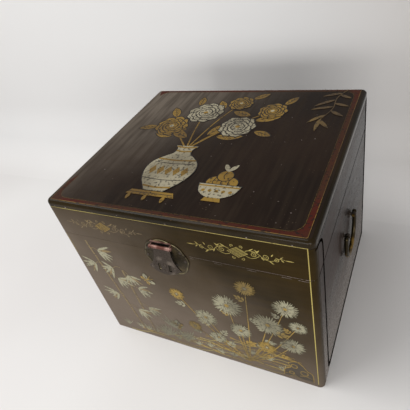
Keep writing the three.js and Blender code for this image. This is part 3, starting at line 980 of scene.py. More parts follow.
@dataclass
class Boards:
    """The wooden boards of the carcase and the lid, with softened edges and a red-brown inside."""

    edge: float = 0.6 * MM
    wall: float = 12.0 * MM
    floor: float = 9.9 * MM
    shortest_rim: float = 2.0 * MM
    rim_turn: float = math.radians(60)
    sharp_turn: float = math.radians(40)
    level: float = 0.97

    def make(self, frame: dict, effects: SharedEffects) -> None:
        """Replaces each board by one with softened edges.

        Args:
            frame: The loaded frame.
            effects: The shared shader groups.
        """
        inside = INSIDE_LACQUER.build(effects)
        nose = NOSE_LACQUER.build(effects)
        outer = {
            "lacquer_front": FRONT_LACQUER.build(effects),
            "lacquer_top": TOP_LACQUER.build(effects),
            "lacquer_side": SIDE_LACQUER.build(effects),
            "lacquer_inside": inside,
        }
        slots = {part["node"]: part["material_slot"] for part in frame["record"]["subparts"]}
        for body, members in frame["record"]["behaviour"]["bodies"].items():
            for node in members:
                slot = slots[node]
                if slot in outer:
                    mesh = self.soften(frame["nodes"][node], slot == "lacquer_top", effects)
                    piece = stand_in(node, mesh, body, slot, outer[slot], inside, nose)
                    piece.data.set_sharp_from_angle(angle=self.sharp_turn)
                    weighted = piece.modifiers.new("even_shading", "WEIGHTED_NORMAL")
                    weighted.weight = 90
                    weighted.keep_sharp = True

    def soften(self, source: Object, has_nose: bool, effects: SharedEffects) -> Mesh:
        """Makes one board with softened edges.

        Args:
            source: The frame's node that it stands for.
            has_nose: Whether its edge is the lid's rounded nose.
            effects: The shared effects, which know the chest's size.

        Returns:
            The board's mesh, in which materials 0, 1 and 2 are the outer, the inner and the nose finish.
        """
        mesh = bmesh.new()
        mesh.from_mesh(source.data)
        bmesh.ops.remove_doubles(mesh, verts=mesh.verts, dist=WELD)
        bmesh.ops.dissolve_limit(mesh, angle_limit=math.radians(1), verts=mesh.verts, edges=mesh.edges)
        rims = [edge for edge in mesh.edges if edge.calc_length() > self.shortest_rim]
        rims = [edge for edge in rims if edge.calc_face_angle(0.0) > self.rim_turn]
        bmesh.ops.bevel(mesh, geom=rims, offset=self.edge, segments=3, profile=0.5, affect="EDGES")
        within_wall = self.wall - self.edge / 2
        reach_x, reach_y = effects.half_width - within_wall, effects.half_depth - within_wall
        top = effects.height - within_wall
        for face in mesh.faces:
            face.smooth = True
            middle = face.calc_center_median()
            within = abs(middle.x) < reach_x and abs(middle.y) < reach_y and self.floor < middle.z < top
            turned = has_nose and abs(face.normal.z) < self.level
            face.material_index = 1 if within else 2 * int(turned)
        return mesh


@dataclass
class Metalwork:
    """The lock, handles and hinges, in their metals, with the hasp's raised ornament."""

    lean: float = math.radians(10.53)
    pivot: Vector = field(default_factory=lambda: Vector((-0.007, -0.1746, 0.2545)))
    barrel: float = 3.2 * MM
    recess_half: float = 13.6 * MM
    face_out: float = -1.2 * MM
    lock_middle: Point = (-7.0, 231.0)
    lock_radius: float = 34.0
    lock_front: float = -169.0
    lobes: int = 8
    lobe_depth: float = 1.6
    bead_steps: int = 144
    bead_profile: tuple[Point, ...] = ((2.5, 1.1), (2.1, 1.65), (1.5, 1.8), (0.9, 1.65), (0.5, 1.1))

    def make(self, frame: dict, effects: SharedEffects) -> None:
        """Dresses each metal node and adds the hasp's ornament.

        Args:
            frame: The loaded frame.
            effects: The shared shader groups.
        """
        metals = {"dark_bronze": DARK_BRONZE, "copper": COPPER, "brass": BRASS}
        built = {slot: metal.build(effects) for slot, metal in metals.items()}
        plate = PLATE_BRONZE.build(effects)
        for part in frame["record"]["subparts"]:
            node, slot = part["node"], part["material_slot"]
            if slot in built and node not in ("hasp", "hasp_bracket"):
                dress(frame["nodes"][node], plate if "plate" in node else built[slot])
                log.info("metal %s", node)
        self.finish_hasp(frame["nodes"]["hasp"], built["dark_bronze"], built["copper"])
        self.finish_bracket(frame["nodes"]["hasp_bracket"], built["copper"], PAINTED_SHADOW_BRONZE.build(effects))
        rim = RIM_BRONZE.build(effects)
        self.bead("lock_bead_lower", "carcase", False, rim)
        self.bead("lock_bead_upper", "lid", True, rim)

    def finish_bracket(self, source: Object, copper: Material, dark: Material) -> None:
        """Makes the bracket again, with its recess behind the barrel in a near-black metal that paints the
        shadow there.

        Args:
            source: The frame's bracket.
            copper: The metal of its ears and lip.
            dark: The near-black metal that paints the shadow in the recess.
        """
        mesh = bmesh.new()
        mesh.from_mesh(source.data)
        for face in mesh.faces:
            off_middle = abs(face.calc_center_median().x - self.pivot.x)
            # Faces in the recess that do not face up take the painted shadow.
            face.material_index = int(off_middle < self.recess_half and face.normal.z < 0.5)
        stand_in("hasp_bracket", mesh, "lid", "copper", copper, dark)

    def bead(self, name: str, body: str, upper: bool, finish: Material) -> None:
        """Raises a light bead just inside the edge of one half of the lock plate.

        Args:
            name: The piece's name.
            body: The body that it rides on.
            upper: Whether it lies above the seam.
            finish: The bead's metal.
        """
        mesh = bmesh.new()
        rows = []
        for step in range(self.bead_steps + 1):
            turn = 360 * step / self.bead_steps
            lobe = abs(math.cos(math.radians(self.lobes * turn / 2))) * self.lobe_depth
            row = []
            for inset, rise in self.bead_profile:
                u, v = towards(self.lock_middle, turn, self.lock_radius - self.lobe_depth + lobe - inset)
                row.append(Vector((u, self.lock_front - rise, v)))
            rows.append(row)
        for near, far in zip(rows, rows[1:]):
            above = [place.z - SEAM if upper else SEAM - place.z for place in near + far]
            if min(above) > SEAM_GAP:
                start = [mesh.verts.new(place * MM) for place in near]
                after = [mesh.verts.new(place * MM) for place in far]
                for corners in zip(start, start[1:], after[1:], after):
                    mesh.faces.new(corners).smooth = True
        bmesh.ops.remove_doubles(mesh, verts=mesh.verts, dist=WELD)
        bmesh.ops.recalc_face_normals(mesh, faces=mesh.faces)
        piece = to_object(name, mesh)
        dress(piece, finish)
        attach(piece, body)
        log.info("metal %s", name)

    def on_hasp(self, u: float, drop: float, height: float) -> Vector:
        """Finds a point on the hasp's face.

        Args:
            u: How far right of its middle, in millimetres.
            drop: How far below the pin, in millimetres.
            height: How far above the face, in millimetres.

        Returns:
            The point in metres.
        """
        down = Vector((0.0, -math.sin(self.lean), -math.cos(self.lean)))
        out = Vector((0.0, -math.cos(self.lean), math.sin(self.lean)))
        return self.pivot + Vector((u * MM, 0, 0)) + down * (drop * MM) + out * (self.face_out + height * MM)

    def boss(self, mesh: Mesh, u: float, drop: float, radius: float, height: float) -> None:
        """Raises one domed boss on the hasp's face.

        Args:
            mesh: The mesh that it goes into.
            u: How far right of the hasp's middle, in millimetres.
            drop: How far below the pin, in millimetres.
            radius: Its radius.
            height: Its height.
        """
        sides = 12 if radius > 1.2 else 8
        rings = []
        for share, rise in ((1.0, -0.1), (0.86, 0.5), (0.5, 0.88)):
            spots = [towards((u, drop), 360 * side / sides, radius * share) for side in range(sides)]
            rings.append([mesh.verts.new(self.on_hasp(*spot, height * rise)) for spot in spots])
        tip = mesh.verts.new(self.on_hasp(u, drop, height))
        for side in range(sides):
            after = (side + 1) % sides
            for low, high in zip(rings, rings[1:]):
                mesh.faces.new((low[side], high[side], high[after], low[after]))
            mesh.faces.new((rings[-1][side], tip, rings[-1][after]))

    def finish_hasp(self, source: Object, dark: Material, copper: Material) -> None:
        """Makes the finished hasp: its plate and barrel, with bosses and beading.

        Args:
            source: The frame's hasp.
            dark: The plate's metal.
            copper: The metal that shows on the rubbed barrel.
        """
        mesh = bmesh.new()
        mesh.from_mesh(source.data)
        for face in mesh.faces:
            face.material_index = int(face.calc_center_median().z > self.pivot.z - self.barrel)
        first = len(mesh.faces)
        for row in range(5):
            for column in range(6):
                self.boss(mesh, -10.5 + column * 4 + (row % 2) * 1.2, 6 + row * 3.4, 0.9, 0.5)
        for side in (-1, 1):
            for u, drop, radius in ((14.6, 33, 2.4), (19.8, 34.5, 1.5), (13.6, 26.5, 1.4), (2.9, 38.5, 1.7)):
                self.boss(mesh, side * u, drop, radius, 0.9)
        self.boss(mesh, 0, 30.5, 3.2, 1.3)
        mesh.faces.ensure_lookup_table()
        for face in mesh.faces[first:]:
            face.smooth = True
        stand_in("hasp", mesh, "hasp", "dark_bronze", dark, copper)


@dataclass
class Borders:
    """The gold frame line, the lid's red band and the dark lines on the sides, with painted shade over the
    sides' rounded back corners.
    """

    outside: Outside
    gold_width: float = 1.2
    gold_inset: float = 7.6
    gold_top: float = 291.5
    gold_foot: float = 8.0
    gold_left_foot: float = 196.0
    side_width: float = 4.8
    side_front: float = -138.0
    side_back: float = 160.0
    side_foot: float = 8.0
    side_corner: float = 12.0
    strip_width: float = 16.5
    strip_step: float = 1.5

    def draw(self, front: dict[Ink, Material], top: dict[Ink, Material]) -> None:
        """Draws every border.

        Args:
            front: The inks of the front and sides.
            top: The inks of the lid.
        """
        self.draw_front(front)
        self.draw_band(top)
        for face in (Face.RIGHT, Face.LEFT):
            self.draw_side(face, front)

    def draw_front(self, finishes: dict[Ink, Material]) -> None:
        """Draws the gold line round the front, and the dark line of the seam.

        Args:
            finishes: The material of each ink.
        """
        edge = self.outside.half_width - self.gold_inset
        low, high = SEAM - SEAM_GAP, SEAM + SEAM_GAP
        pen = Pen(self.outside, Face.FRONT)
        pen.stroke(Ink.GOLD, [(edge, self.gold_foot), (edge, low)], self.gold_width)
        pen.stroke(Ink.GOLD, [(-edge, self.gold_left_foot), (-edge, low)], self.gold_width * 0.5)
        pen.stroke(Ink.LINE, [(-edge - 3, SEAM - 1.1), (edge + 3, SEAM - 1.1)], 1.4)
        pen.finish("front_line", "carcase", finishes)
        pen = Pen(self.outside, Face.FRONT)
        pen.stroke(Ink.GOLD, [(edge, high), (edge, self.gold_top + 0.7)], self.gold_width)
        pen.stroke(Ink.GOLD, [(-edge, self.gold_top), (edge + 0.7, self.gold_top)], self.gold_width * 0.75)
        pen.finish("lid_front_line", "lid", finishes)

    def draw_band(self, finishes: dict[Ink, Material]) -> None:
        """Draws the red band and its gold edges round the lid's top.

        Args:
            finishes: The material of each ink.
        """
        pen = Pen(self.outside, Face.TOP)
        self.ring(pen, Ink.GOLD, (7.9, 4.6, 2.0), (8.5, 5.3, 2.0))
        self.ring(pen, Ink.RED, (8.5, 5.3, 2.0), (14.8, 10.4, 16.0))
        self.ring(pen, Ink.GOLD, (15.4, 11.0, 16.0), (15.7, 11.3, 16.0))
        pen.finish("lid_band", "lid", finishes)

    def ring(self, pen: Pen, ink: Ink, outer: Triple, inner: Triple) -> None:
        """Draws a ring that follows the lid's edge and has worn away along most of the left end.

        Args:
            pen: The pen to draw with.
            ink: The colour.
            outer: The outer line's insets across and along the lid, and its corner radius.
            inner: The same of the inner line.
        """
        lines = []
        for step in range(5):
            across, along, radius = [a + (b - a) * step / 4 for a, b in zip(outer, inner)]
            line = rounded_outline(self.outside.half_width - across, self.outside.half_depth - along, radius)
            lines.append([(line[0][0], 0.75 * line[0][1]), *line])
        for line, after in zip(lines, lines[1:]):
            for here, there, there_after, here_after in zip(line, line[1:], after[1:], after):
                pen.film(ink, [here, there, there_after, here_after])

    def draw_side(self, face: Face, finishes: dict[Ink, Material]) -> None:
        """Draws the dark line that frames one side.

        Args:
            face: The side's face.
            finishes: The material of each ink.
        """
        pen = Pen(self.outside, face)
        front, corner = self.side_front, self.side_corner
        line = [(front, SEAM - SEAM_GAP), (front, self.side_foot + corner)]
        line += spiral((front + corner, self.side_foot + corner), corner, 180, 0.25, 1.0)
        line.append((self.side_back, self.side_foot))
        pen.stroke(Ink.LINE, line, self.side_width, self.side_width * 2.2)
        self.draw_back_border_and_shade(pen, 2.0, SEAM - SEAM_GAP)
        pen.stroke(Ink.LINE, [(-self.side_back, SEAM - 0.9), (self.side_back, SEAM - 0.9)], 0.9)
        pen.finish(f"side_line_{face.name.lower()}", "carcase", finishes)
        pen = Pen(self.outside, face)
        nose = (4 - self.outside.half_depth, 287)
        curve = smooth_line([(front, 264), (front - 2, 277), (front - 11, 285), nose])
        pen.stroke(Ink.LINE, [(front, SEAM + SEAM_GAP), *curve], self.side_width, self.side_width * 0.6)
        self.draw_back_border_and_shade(pen, SEAM + SEAM_GAP, 290.0)
        pen.finish(f"lid_side_line_{face.name.lower()}", "lid", finishes)

    def draw_back_border_and_shade(self, pen: Pen, low: float, high: float) -> None:
        """Draws the dark strip at the back end of a side, narrow line by line round the corner: the back end
        of the side's border, widened over the rounded back corner as painted shade.

        Args:
            pen: The pen to draw with.
            low: Where the strip begins.
            high: Where it ends.
        """
        # Painted shade over the rounded back corner, joined to the border's back end.
        for place in range(11):
            u = self.outside.half_depth - self.strip_width + place * self.strip_step
            pen.stroke(Ink.LINE, [(u, low), (u, high)], self.strip_step + 0.1)


@dataclass
class ScrollBands:
    """The two gold scrolls with a lattice diamond on the lid's front."""

    outside: Outside
    height: float = 266.5
    off_middle: float = 100.0
    diamond: Point = (13.0, 8.4)
    lattice_lines: int = 6
    stem: float = 0.85

    def draw(self, finishes: dict[Ink, Material]) -> None:
        """Draws both scrolls, the left one faded.

        Args:
            finishes: The material of each ink.
        """
        pen = Pen(self.outside, Face.FRONT)
        for end, lattice, arm in ((-1, Ink.OCHRE, Ink.FADED), (1, Ink.GOLD, Ink.GOLD)):
            middle = end * self.off_middle
            self.lattice(pen, middle, lattice)
            for side in (-1, 1):
                self.arm(pen, middle, side, arm)
        pen.finish("lid_scrolls", "lid", finishes)

    def lattice(self, pen: Pen, middle: float, ink: Ink) -> None:
        """Draws the diamond and its crossing lines.

        Args:
            pen: The pen to draw with.
            middle: Where the diamond's middle is.
            ink: Its colour.
        """
        half_u, half_v = self.diamond
        corners = [(half_u, 0.0), (0.0, half_v), (-half_u, 0.0), (0.0, -half_v), (half_u, 0.0)]
        pen.stroke(ink, [(middle + u, self.height + v) for u, v in corners], 0.8)
        for place in range(self.lattice_lines):
            share = (place + 1) / (self.lattice_lines + 1)
            for way in (-1, 1):
                start = (middle - half_u * (1 - share), self.height + way * half_v * share)
                end = (middle + half_u * share, self.height - way * half_v * (1 - share))
                pen.stroke(ink, [start, end], 0.5)

    def arm(self, pen: Pen, middle: float, side: int, ink: Ink) -> None:
        """Draws the curls and leaves on one side of the diamond.

        Args:
            pen: The pen to draw with.
            middle: Where the diamond's middle is.
            side: -1 for the left arm, 1 for the right.
            ink: Its colour.
        """

        def put(line: list[Point]) -> list[Point]:
            """Places a line of the arm, counted from the diamond."""
            return [(middle + side * u, self.height + v) for u, v in line]

        wave = [(10, 4), (16, 6.5), (24, 4.5), (31, -2), (38, -5), (45, -2.5), (51, 1.5), (58, 0.5)]
        pen.stroke(ink, put(smooth_line(wave)), self.stem, self.stem * 0.6)
        pen.stroke(ink, put(smooth_line([(10, -4), (16, -6), (22, -4), (27, 0)])), self.stem * 0.8, 0.6)
        curls = (
            (19.5, 0.8, 4.2, 110, -1.5),
            (34.0, 0.6, 4.4, 235, 1.5),
            (46.5, -1.4, 3.4, 100, -1.4),
            (5.5, 10.2, 2.4, 290, 1.2),
            (5.5, -10.2, 2.4, 70, -1.2),
        )
        for u, v, radius, start, turns in curls:
            pen.stroke(ink, put(spiral((u, v), radius, start, turns)), self.stem * 0.9, 0.5)
        leaves = ((15, 6.5, 35, 7), (24, 5, 50, 6), (29, -1, -60, 6), (38, -5, -40, 7), (41, 3, 60, 5))
        leaves += ((26, 5.5, 140, 6), (51, 1.5, 48, 6), (52, 0.5, -45, 5), (57, 0.5, 0, 10))
        for u, v, turn, length in leaves:
            pen.blade(ink, put([(u, v)])[0], turn if side > 0 else 180 - turn, length, 1.5, 0.8)


@dataclass
class Painting:
    """A painting on one face, with its own pen and its own seeded chance."""

    outside: Outside
    face: Face = Face.FRONT
    lift: float = 0.12
    scale: float = 1.0
    shift: Point = (0.0, 0.0)
    seed: int = 7

    def __post_init__(self) -> None:
        """Takes up the pen and starts the chance."""
        self.pen = Pen(self.outside, self.face, self.lift, self.scale, self.shift)
        self.rng = random.Random(self.seed)

    def vary(self, most: float) -> float:
        """Returns a chance amount, at most so much either way."""
        return self.rng.uniform(-most, most)


@dataclass
class FrontPainting(Painting):
    """Bamboo, chrysanthemums and a garden rock on the front of the body."""

    def draw(self, finishes: dict[Ink, Material]) -> None:
        """Draws the whole front.

        Args:
            finishes: The material of each ink.
        """
        self.draw_ground()
        self.draw_grass()
        self.draw_rock()
        self.draw_bamboo()
        self.draw_flowers()
        self.butterfly((-62, 168), 35)
        self.butterfly((-38, 62), 150)
        self.pen.finish("front_painting", "carcase", finishes)

    def draw_ground(self) -> None:
        """Draws the flowing lines of the ground."""
        for row in range(15):
            height = 8 + row * 4.2
            start = -150 + row * 15 + self.vary(12)
            end = 170 - abs(row - 5) * 3 + self.rng.uniform(-16, 6)
            points = []
            for step in range(15):
                u = start + (end - start) * step / 14
                swell = 4.5 * math.sin(u / 19 + row * 1.3) + 2 * math.sin(u / 7 + row)
                points.append((u, height + swell + self.vary(1)))
            self.pen.stroke(Ink.OCHRE if row % 3 else Ink.GOLD, smooth_line(points, 5), 1.5, 0.8)

    def draw_grass(self) -> None:
        """Draws the tufts of fine grass along the ground and three broad ones."""
        for place in range(16):
            u = -150 + place * 20 + self.vary(6)
            root = (u, self.rng.uniform(12, 46) if u > 0 else 16)
            for blade in range(9):
                turn = 50 + blade * 10 + self.vary(4)
                self.pen.blade(Ink.SILVER, root, turn, self.rng.uniform(12, 22), 1.3, 0.8, 0.1)
        for root in ((-66, 22), (-30, 26), (-48, 50)):
            for blade in range(11):
                turn = 20 + blade * 14 + self.vary(4)
                length = self.rng.uniform(20, 34)
                self.pen.blade(Ink.SILVER, root, turn, length, 3.2, 0.8, (turn - 90) * -0.004)

    def draw_rock(self) -> None:
        """Draws the pierced garden rock at the right."""
        outline = [(132, 10), (134, 26), (143, 35), (141, 46), (152, 54), (161, 48), (168, 36)]
        edge = smooth_line([*outline, (175, 30), (176, 10)], 5)
        self.pen.fill(Ink.DARK, edge)
        self.pen.stroke(Ink.OCHRE, edge, 1.6, 1.2)
        for middle, radius in (((149, 40), 5), ((163, 27), 6), ((144, 20), 4)):
            self.pen.stroke(Ink.OCHRE, spiral(middle, radius, 20, 1.0, 0.86), 1.2)
        for start, end, height in ((134, 150, 14), (156, 175, 17), (140, 158, 9)):
            points = [(start, height), ((start + end) / 2, height + 3), (end, height)]
            self.pen.stroke(Ink.OCHRE, smooth_line(points), 1.2, 0.6)

    def draw_bamboo(self) -> None:
        """Draws two bamboo canes and their leaves at the left."""
        for root, tip, count in (((-118, 16), (-150, 232), 7), ((-96, 14), (-104, 178), 5)):
            for joint in range(count):
                low = between(root, tip, (joint + 0.04) / count)
                high = between(root, tip, (joint + 0.96) / count)
                self.pen.stroke(Ink.FADED, [low, high], 3.4)
                self.pen.stroke(Ink.DARK, [(low[0] + 0.6, low[1] + 2), (high[0] + 0.6, high[1] - 2)], 0.7)
        sprays = ((-148, 214, -20), (-143, 182, -150), (-137, 158, -30), (-104, 176, -60), (-102, 140, -20))
        sprays += ((-128, 110, -155), (-98, 96, -35), (-106, 182, -150), (-124, 84, -40))
        for u, v, turn in sprays:
            tip = towards((u, v + 4), turn, self.rng.uniform(12, 20))
            twig = [(u, v), ((u + tip[0]) / 2, (v + tip[1]) / 2 + 3), tip]
            self.pen.stroke(Ink.FADED, smooth_line(twig), 1.2, 0.8)
            for leaf in range(6):
                fan = turn - 52 + leaf * 19 + self.vary(6)
                ink = Ink.FADED if leaf == 4 else Ink.SILVER
                self.pen.blade(ink, tip, fan, self.rng.uniform(22, 31), 4.6, 0.8, self.vary(0.1))

    def draw_flowers(self) -> None:
        """Draws the chrysanthemums, their stems and their leaves."""
        root = (78, 16)
        blooms = ((64, 152, 23), (120, 130, 22), (22, 108, 18), (148, 176, 17), (98, 200, 14), (-16, 150, 12))
        blooms += ((76, 98, 16), (152, 94, 17), (112, 72, 14), (34, 62, 13), (-4, 76, 11), (162, 142, 12))
        for u, v, _ in blooms:
            bend = ((root[0] * 0.45 + u * 0.55), (root[1] + v) / 2 - 6)
            line = smooth_line([root, bend, (u, v)], 8)
            self.pen.stroke(Ink.OCHRE, line, 2.2, 1.1)
            for place in range(10, len(line) - 1, 3):
                here, after = line[place], line[place + 1]
                run = math.degrees(math.atan2(after[1] - here[1], after[0] - here[0]))
                ink = Ink.SILVER if self.rng.random() < 0.7 else Ink.OCHRE
                self.leaf(here, run + (60 if place % 2 else -60), self.rng.uniform(15, 24), ink)
        for place, (u, v, radius) in enumerate(blooms):
            self.bloom((u, v), radius, Ink.OCHRE if place in (4, 5, 8, 10) else Ink.SILVER)

    def leaf(self, root: Point, turn: float, length: float, ink: Ink) -> None:
        """Draws a lobed leaf as a fan of blades with a vein.

        Args:
            root: Where it grows from.
            turn: Its direction in degrees.
            length: Its length.
            ink: Its colour.
        """
        lobes = ((0.2, 48, 0.45), (0.2, -48, 0.45), (0.45, 34, 0.42), (0.45, -34, 0.42), (0.5, 0, 0.55))
        for share, fan, size in lobes:
            start = towards(root, turn, length * share)
            self.pen.blade(ink, start, turn + fan, length * size, length * 0.2, 1.1)
        self.pen.stroke(Ink.DARK, [root, towards(root, turn, length * 0.9)], 0.8, 0.4)

    def bloom(self, middle: Point, radius: float, ink: Ink) -> None:
        """Draws one many-petalled flower.

        Args:
            middle: Its middle.
            radius: Its outer radius.
            ink: The petals' colour.
        """
        for share, count, start in ((1.0, 30, 0.0), (0.74, 22, 9.0), (0.48, 14, 4.0)):
            width = 2.05 * math.pi * radius * share / count * 0.5
            self.pen.disc(Ink.DARK, middle, radius * share * 0.62)
            for petal in range(count):
                turn = start + 360 * petal / count + self.vary(3)
                reach = radius * share * self.rng.uniform(0.9, 1.04)
                self.pen.blade(ink, towards(middle, turn, 1.5), turn, reach, width, 1.5, 0.08)
        self.pen.disc(Ink.OCHRE if ink is Ink.SILVER else Ink.SILVER, middle, radius * 0.15)

    def butterfly(self, middle: Point, turn: float) -> None:
        """Draws a small butterfly.

        Args:
            middle: Where its wings meet.
            turn: The way it heads, in degrees.
        """
        for fan, length, width in ((58, 15, 8), (-58, 15, 8), (118, 11, 6), (-118, 11, 6)):
            self.pen.blade(Ink.SILVER if length > 12 else Ink.OCHRE, middle, turn + fan, length, width, 1.3)
            self.pen.blade(Ink.DARK, middle, turn + fan, length * 0.6, width * 0.3, 1.2)
        self.pen.blade(Ink.OCHRE, middle, turn, 8, 2.0)
        self.pen.blade(Ink.OCHRE, middle, turn + 180, 7, 1.8)
        for fan in (14, -14):
            self.pen.stroke(Ink.OCHRE, [middle, towards(middle, turn + fan, 14)], 0.8)


@dataclass
class LidPainting(Painting):
    """A vase of peonies on a stand, a bowl of fruit and a twig on the lid."""

    face: Face = Face.TOP
    lift: float = 0.14
    scale: float = 1.17
    shift: Point = (-24.0, -14.0)
    seed: int = 21
    vase_middle: float = -8.0
    bowl_middle: float = 67.0

    def draw(self, finishes: dict[Ink, Material]) -> None:
        """Draws the whole lid.

        Args:
            finishes: The material of each ink.
        """
        self.draw_flowers()
        self.draw_vase()
        self.draw_bowl()
        self.draw_twig()
        self.pen.finish("lid_painting", "lid", finishes)

    def draw_flowers(self) -> None:
        """Draws the stems, leaves and flowers."""
        mouth = (-8, -8)
        flowers = (
            (-58, 46, 25, Ink.OCHRE),
            (40, 50, 25, Ink.SILVER),
            (-22, 84, 27, Ink.SILVER),
            (74, 92, 20, Ink.OCHRE),
            (22, 112, 18, Ink.OCHRE),
        )
        for u, v, _, _ in flowers:
            bend = ((mouth[0] + u) / 2 - 3, (mouth[1] + v) / 2 + 6)
            self.pen.stroke(Ink.OCHRE, smooth_line([mouth, bend, (u, v)], 6), 2.4, 1.4)
        leaves = ((-20, 18, 150, 34), (-30, 40, 200, 30), (6, 26, 60, 34), (20, 24, 5, 36))
        leaves += ((48, 78, 160, 30), (58, 66, 20, 34), (-62, 70, 120, 30), (-80, 44, 195, 28))
        leaves += ((2, 96, 120, 26), (86, 108, 60, 26), (-40, 104, 100, 26), (36, 124, 40, 26))
        leaves += ((66, 40, -20, 26), (-44, 20, 170, 28))
        for u, v, turn, length in leaves:
            self.leaf((u, v), turn, length)
        for u, v, radius, ink in flowers:
            self.peony((u, v), radius, ink)

    def leaf(self, root: Point, turn: float, length: float) -> None:
        """Draws a broad leaf with veins.

        Args:
            root: Where it grows from.
            turn: Its direction in degrees.
            length: Its length.
        """
        self.pen.blade(Ink.DARK, root, turn, length + 2, length * 0.42 + 2)
        self.pen.blade(Ink.OCHRE, root, turn, length, length * 0.42)
        self.pen.stroke(Ink.DARK, [root, towards(root, turn, length * 0.9)], 1.0, 0.6)
        for share in (0.25, 0.45, 0.65):
            start = towards(root, turn, length * share)
            for fan in (38, -38):
                self.pen.stroke(Ink.DARK, [start, towards(start, turn + fan, length * 0.22)], 0.8, 0.5)

    def peony(self, middle: Point, radius: float, ink: Ink) -> None:
        """Draws one full flower, ring by ring.

        Args:
            middle: Its middle.
            radius: Its outer radius.
            ink: The petals' colour.
        """
        for share, count, start in ((1.0, 9, 5.0), (0.76, 8, 25.0), (0.54, 6, 10.0), (0.34, 5, 40.0)):
            width = 2 * math.pi * radius * share / count * 1.02
            for petal in range(count):
                turn = start + 360 * petal / count + self.vary(5)
                reach = radius * share * self.rng.uniform(0.94, 1.05)
                self.pen.blade(Ink.DARK, middle, turn, reach + 1.4, width + 2.2, 1.9)
                self.pen.blade(ink, middle, turn, reach, width, 1.9)
                for fan in (-9, 0, 9):
                    vein = [towards(middle, turn + fan, reach * part) for part in (0.55, 0.8)]
                    self.pen.stroke(Ink.DARK, vein, 0.5, 0.7)
        self.pen.disc(Ink.OCHRE if ink is Ink.SILVER else Ink.SILVER, middle, radius * 0.13)

    def hoop(self, ink: Ink, height: float, half: float, width: float) -> None:
        """Draws a line round the vase.

        Args:
            ink: Its colour.
            height: Its height on the vase.
            half: Half of its length.
            width: Its width.
        """
        middle = self.vase_middle
        line = smooth_line([(middle - half, height), (middle, height - 2), (middle + half, height)])
        self.pen.stroke(ink, line, width)

    def draw_vase(self) -> None:
        """Draws the vase and its stand."""
        profile = [(13, -92), (17, -86), (27, -72), (33, -54), (31, -38), (21, -26), (12, -18)]
        line = smooth_line([*profile, (11, -8), (16, -1)], 4)
        middle = self.vase_middle
        for ink, rim in ((Ink.DARK, 1.4), (Ink.SILVER, 0.0)):
            right = [(middle + u + rim, v) for u, v in line]
            self.pen.fill(ink, right + [(middle - u - rim, v) for u, v in reversed(line)])
        for height, half in ((-84, 18.5), (-31, 26), (-12, 11), (-3, 14)):
            self.hoop(Ink.OCHRE, height, half, 3.0)
        for column in range(5):
            u = middle - 22 + column * 11
            self.pen.fill(Ink.OCHRE, [(u - 4.6, -54), (u, -63), (u + 4.6, -54), (u, -45)])
        for height in (-70, -38):
            self.hoop(Ink.DARK, height, 28, 1.1)
        self.pen.fill(Ink.OCHRE, [(-40, -101), (24, -101), (20, -93), (-36, -93)])
        for leg in (-34, -12, 12):
            self.pen.blade(Ink.OCHRE, (leg, -100), 270, 11, 5, 0.8)
        self.pen.stroke(Ink.DARK, [(-37, -97), (21, -97)], 0.9)

    def draw_twig(self) -> None:
        """Draws a faded twig with long leaves in the lid's far right corner."""
        twig = smooth_line([(160, 152), (150, 128), (150, 100), (140, 72)], 6)
        self.pen.stroke(Ink.FADED, twig, 1.6, 0.8)
        leaves = ((3, -165, 26), (4, -40, 18), (7, -150, 30), (9, -30, 20), (11, -170, 28))
        leaves += ((13, -45, 22), (15, -140, 28), (17, -100, 30), (18, -60, 24))
        for place, turn, length in leaves:
            self.pen.blade(Ink.FADED, twig[place], turn, length, 5.5, 0.8, 0.12)

    def draw_bowl(self) -> None:
        """Draws the bowl of fruit at the right."""
        for u, v, radius in ((58, -66, 9.5), (76, -66, 9.5), (67, -54, 9)):
            self.pen.disc(Ink.DARK, (u, v), radius + 1.2, 20)
            self.pen.disc(Ink.OCHRE, (u, v), radius, 20)
            crease = smooth_line([(u, v + radius), (u - 2, v), (u + 1, v - radius * 0.6)], 4)
            self.pen.stroke(Ink.DARK, crease, 0.9)
        middle = self.bowl_middle
        for turn in (120, 60):
            self.pen.blade(Ink.SILVER, (middle, -46), turn, 16, 6)
        bowl = smooth_line([(42, -70), (47, -84), (60, -92), (74, -92), (87, -84), (92, -70)], 5)
        self.pen.fill(Ink.DARK, [(middle + (u - middle) * 1.05, -70 + (v + 70) * 1.06 + 1) for u, v in bowl])
        self.pen.fill(Ink.SILVER, bowl)
        self.pen.stroke(Ink.OCHRE, [(43, -73), (91, -73)], 2.2)
        for place in range(5):
            self.pen.disc(Ink.OCHRE, (51 + place * 8, -81), 2.3, 10)
        self.pen.fill(Ink.OCHRE, [(56, -98), (78, -98), (76, -92), (58, -92)])


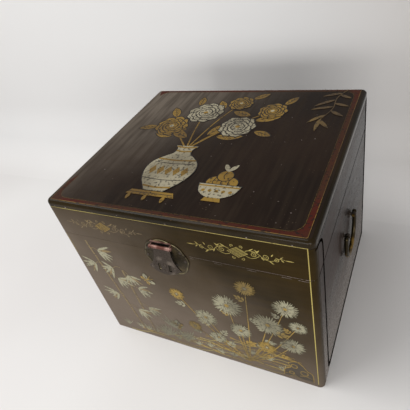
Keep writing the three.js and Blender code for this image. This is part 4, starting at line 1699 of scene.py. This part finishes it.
@dataclass
class AgeMarks:
    """Chips on the lid's nose, pale marks along the seam that paint the highlight on its worn, rounded edges,
    and specks on the lid.
    """

    outside: Outside
    seed: int = 4
    body_level: float = SEAM - 2.4
    lid_level: float = SEAM + 0.8
    seam_mark_start: float = 30.0
    seam_mark_end: float = 178.0
    speck_count: int = 46
    speck_inset: Point = (20.0, 16.0)
    speck_lift: float = 0.4

    def draw(self, finishes: dict[Ink, Material]) -> None:
        """Draws the marks of each body.

        Args:
            finishes: The material of each ink.
        """
        rng = random.Random(self.seed)
        pen = Pen(self.outside, Face.FRONT)
        # Painted highlight along the seam's worn, rounded edges.
        self.draw_seam_highlight(pen, rng, self.body_level, 0.5, 5.0)
        pen.finish("seam_highlight_body", "carcase", finishes)
        pen = Pen(self.outside, Face.FRONT)
        self.draw_seam_highlight(pen, rng, self.lid_level, 2.0, 0.3)
        for u in (-172, -150, -104, -60, 12, 66, 120, 170):
            pen.disc(Ink.WORN, (u + rng.uniform(-5, 5), rng.uniform(293, 295.4)), rng.uniform(0.6, 1.3), 6)
        pen.finish("seam_highlight_and_chips_lid", "lid", finishes)
        pen = Pen(self.outside, Face.TOP, self.speck_lift)
        reach_u = self.outside.half_width - self.speck_inset[0]
        reach_v = self.outside.half_depth - self.speck_inset[1]
        for _ in range(self.speck_count):
            middle = (rng.uniform(-reach_u, reach_u), rng.uniform(-reach_v, reach_v))
            pen.disc(Ink.WORN, middle, rng.uniform(0.4, 1.0), 6)
        pen.finish("lid_specks", "lid", finishes)

    def draw_seam_highlight(self, pen: Pen, rng: random.Random, level: float, longer: float, wider: float) -> None:
        """Draws the pale marks along one side of the seam, from the lock to the right end, as painted
        highlight on the worn, rounded edge.

        Args:
            pen: The pen to draw with.
            rng: The chance.
            level: Their height.
            longer: How many times longer than usual they are.
            wider: How many times wider than usual the gaps are.
        """
        u = self.seam_mark_start
        while u < self.seam_mark_end:
            length = rng.uniform(6, 26) * longer
            line = [(u + length * step / 4, level + rng.uniform(-0.25, 0.25)) for step in range(5)]
            pen.stroke(Ink.WORN, line, rng.uniform(0.3, 0.8), 0.3)
            u += length + rng.uniform(1, 7) * wider


def main() -> None:
    """Builds the surroundings and dresses the chest."""
    logging.basicConfig(level=logging.INFO, format="%(name)s: %(message)s")
    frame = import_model()
    _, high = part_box("lid_top_panel")
    surroundings = Surroundings()
    surroundings.place_camera()
    surroundings.lay_floor()
    surroundings.light()
    effects = SharedEffects(high.x, high.y, high.z)
    outside = Outside(high.x / MM, high.y / MM, high.z / MM)
    Boards().make(frame, effects)
    Metalwork().make(frame, effects)
    front = {ink: paint.build(effects) for ink, paint in FRONT_INKS.items()}
    top = {ink: paint.build(effects) for ink, paint in TOP_INKS.items()}
    Borders(outside).draw(front, top)
    ScrollBands(outside).draw(front)
    FrontPainting(outside).draw(front)
    LidPainting(outside).draw(top)
    AgeMarks(outside).draw(front)


if __name__ == "__main__":
    main()
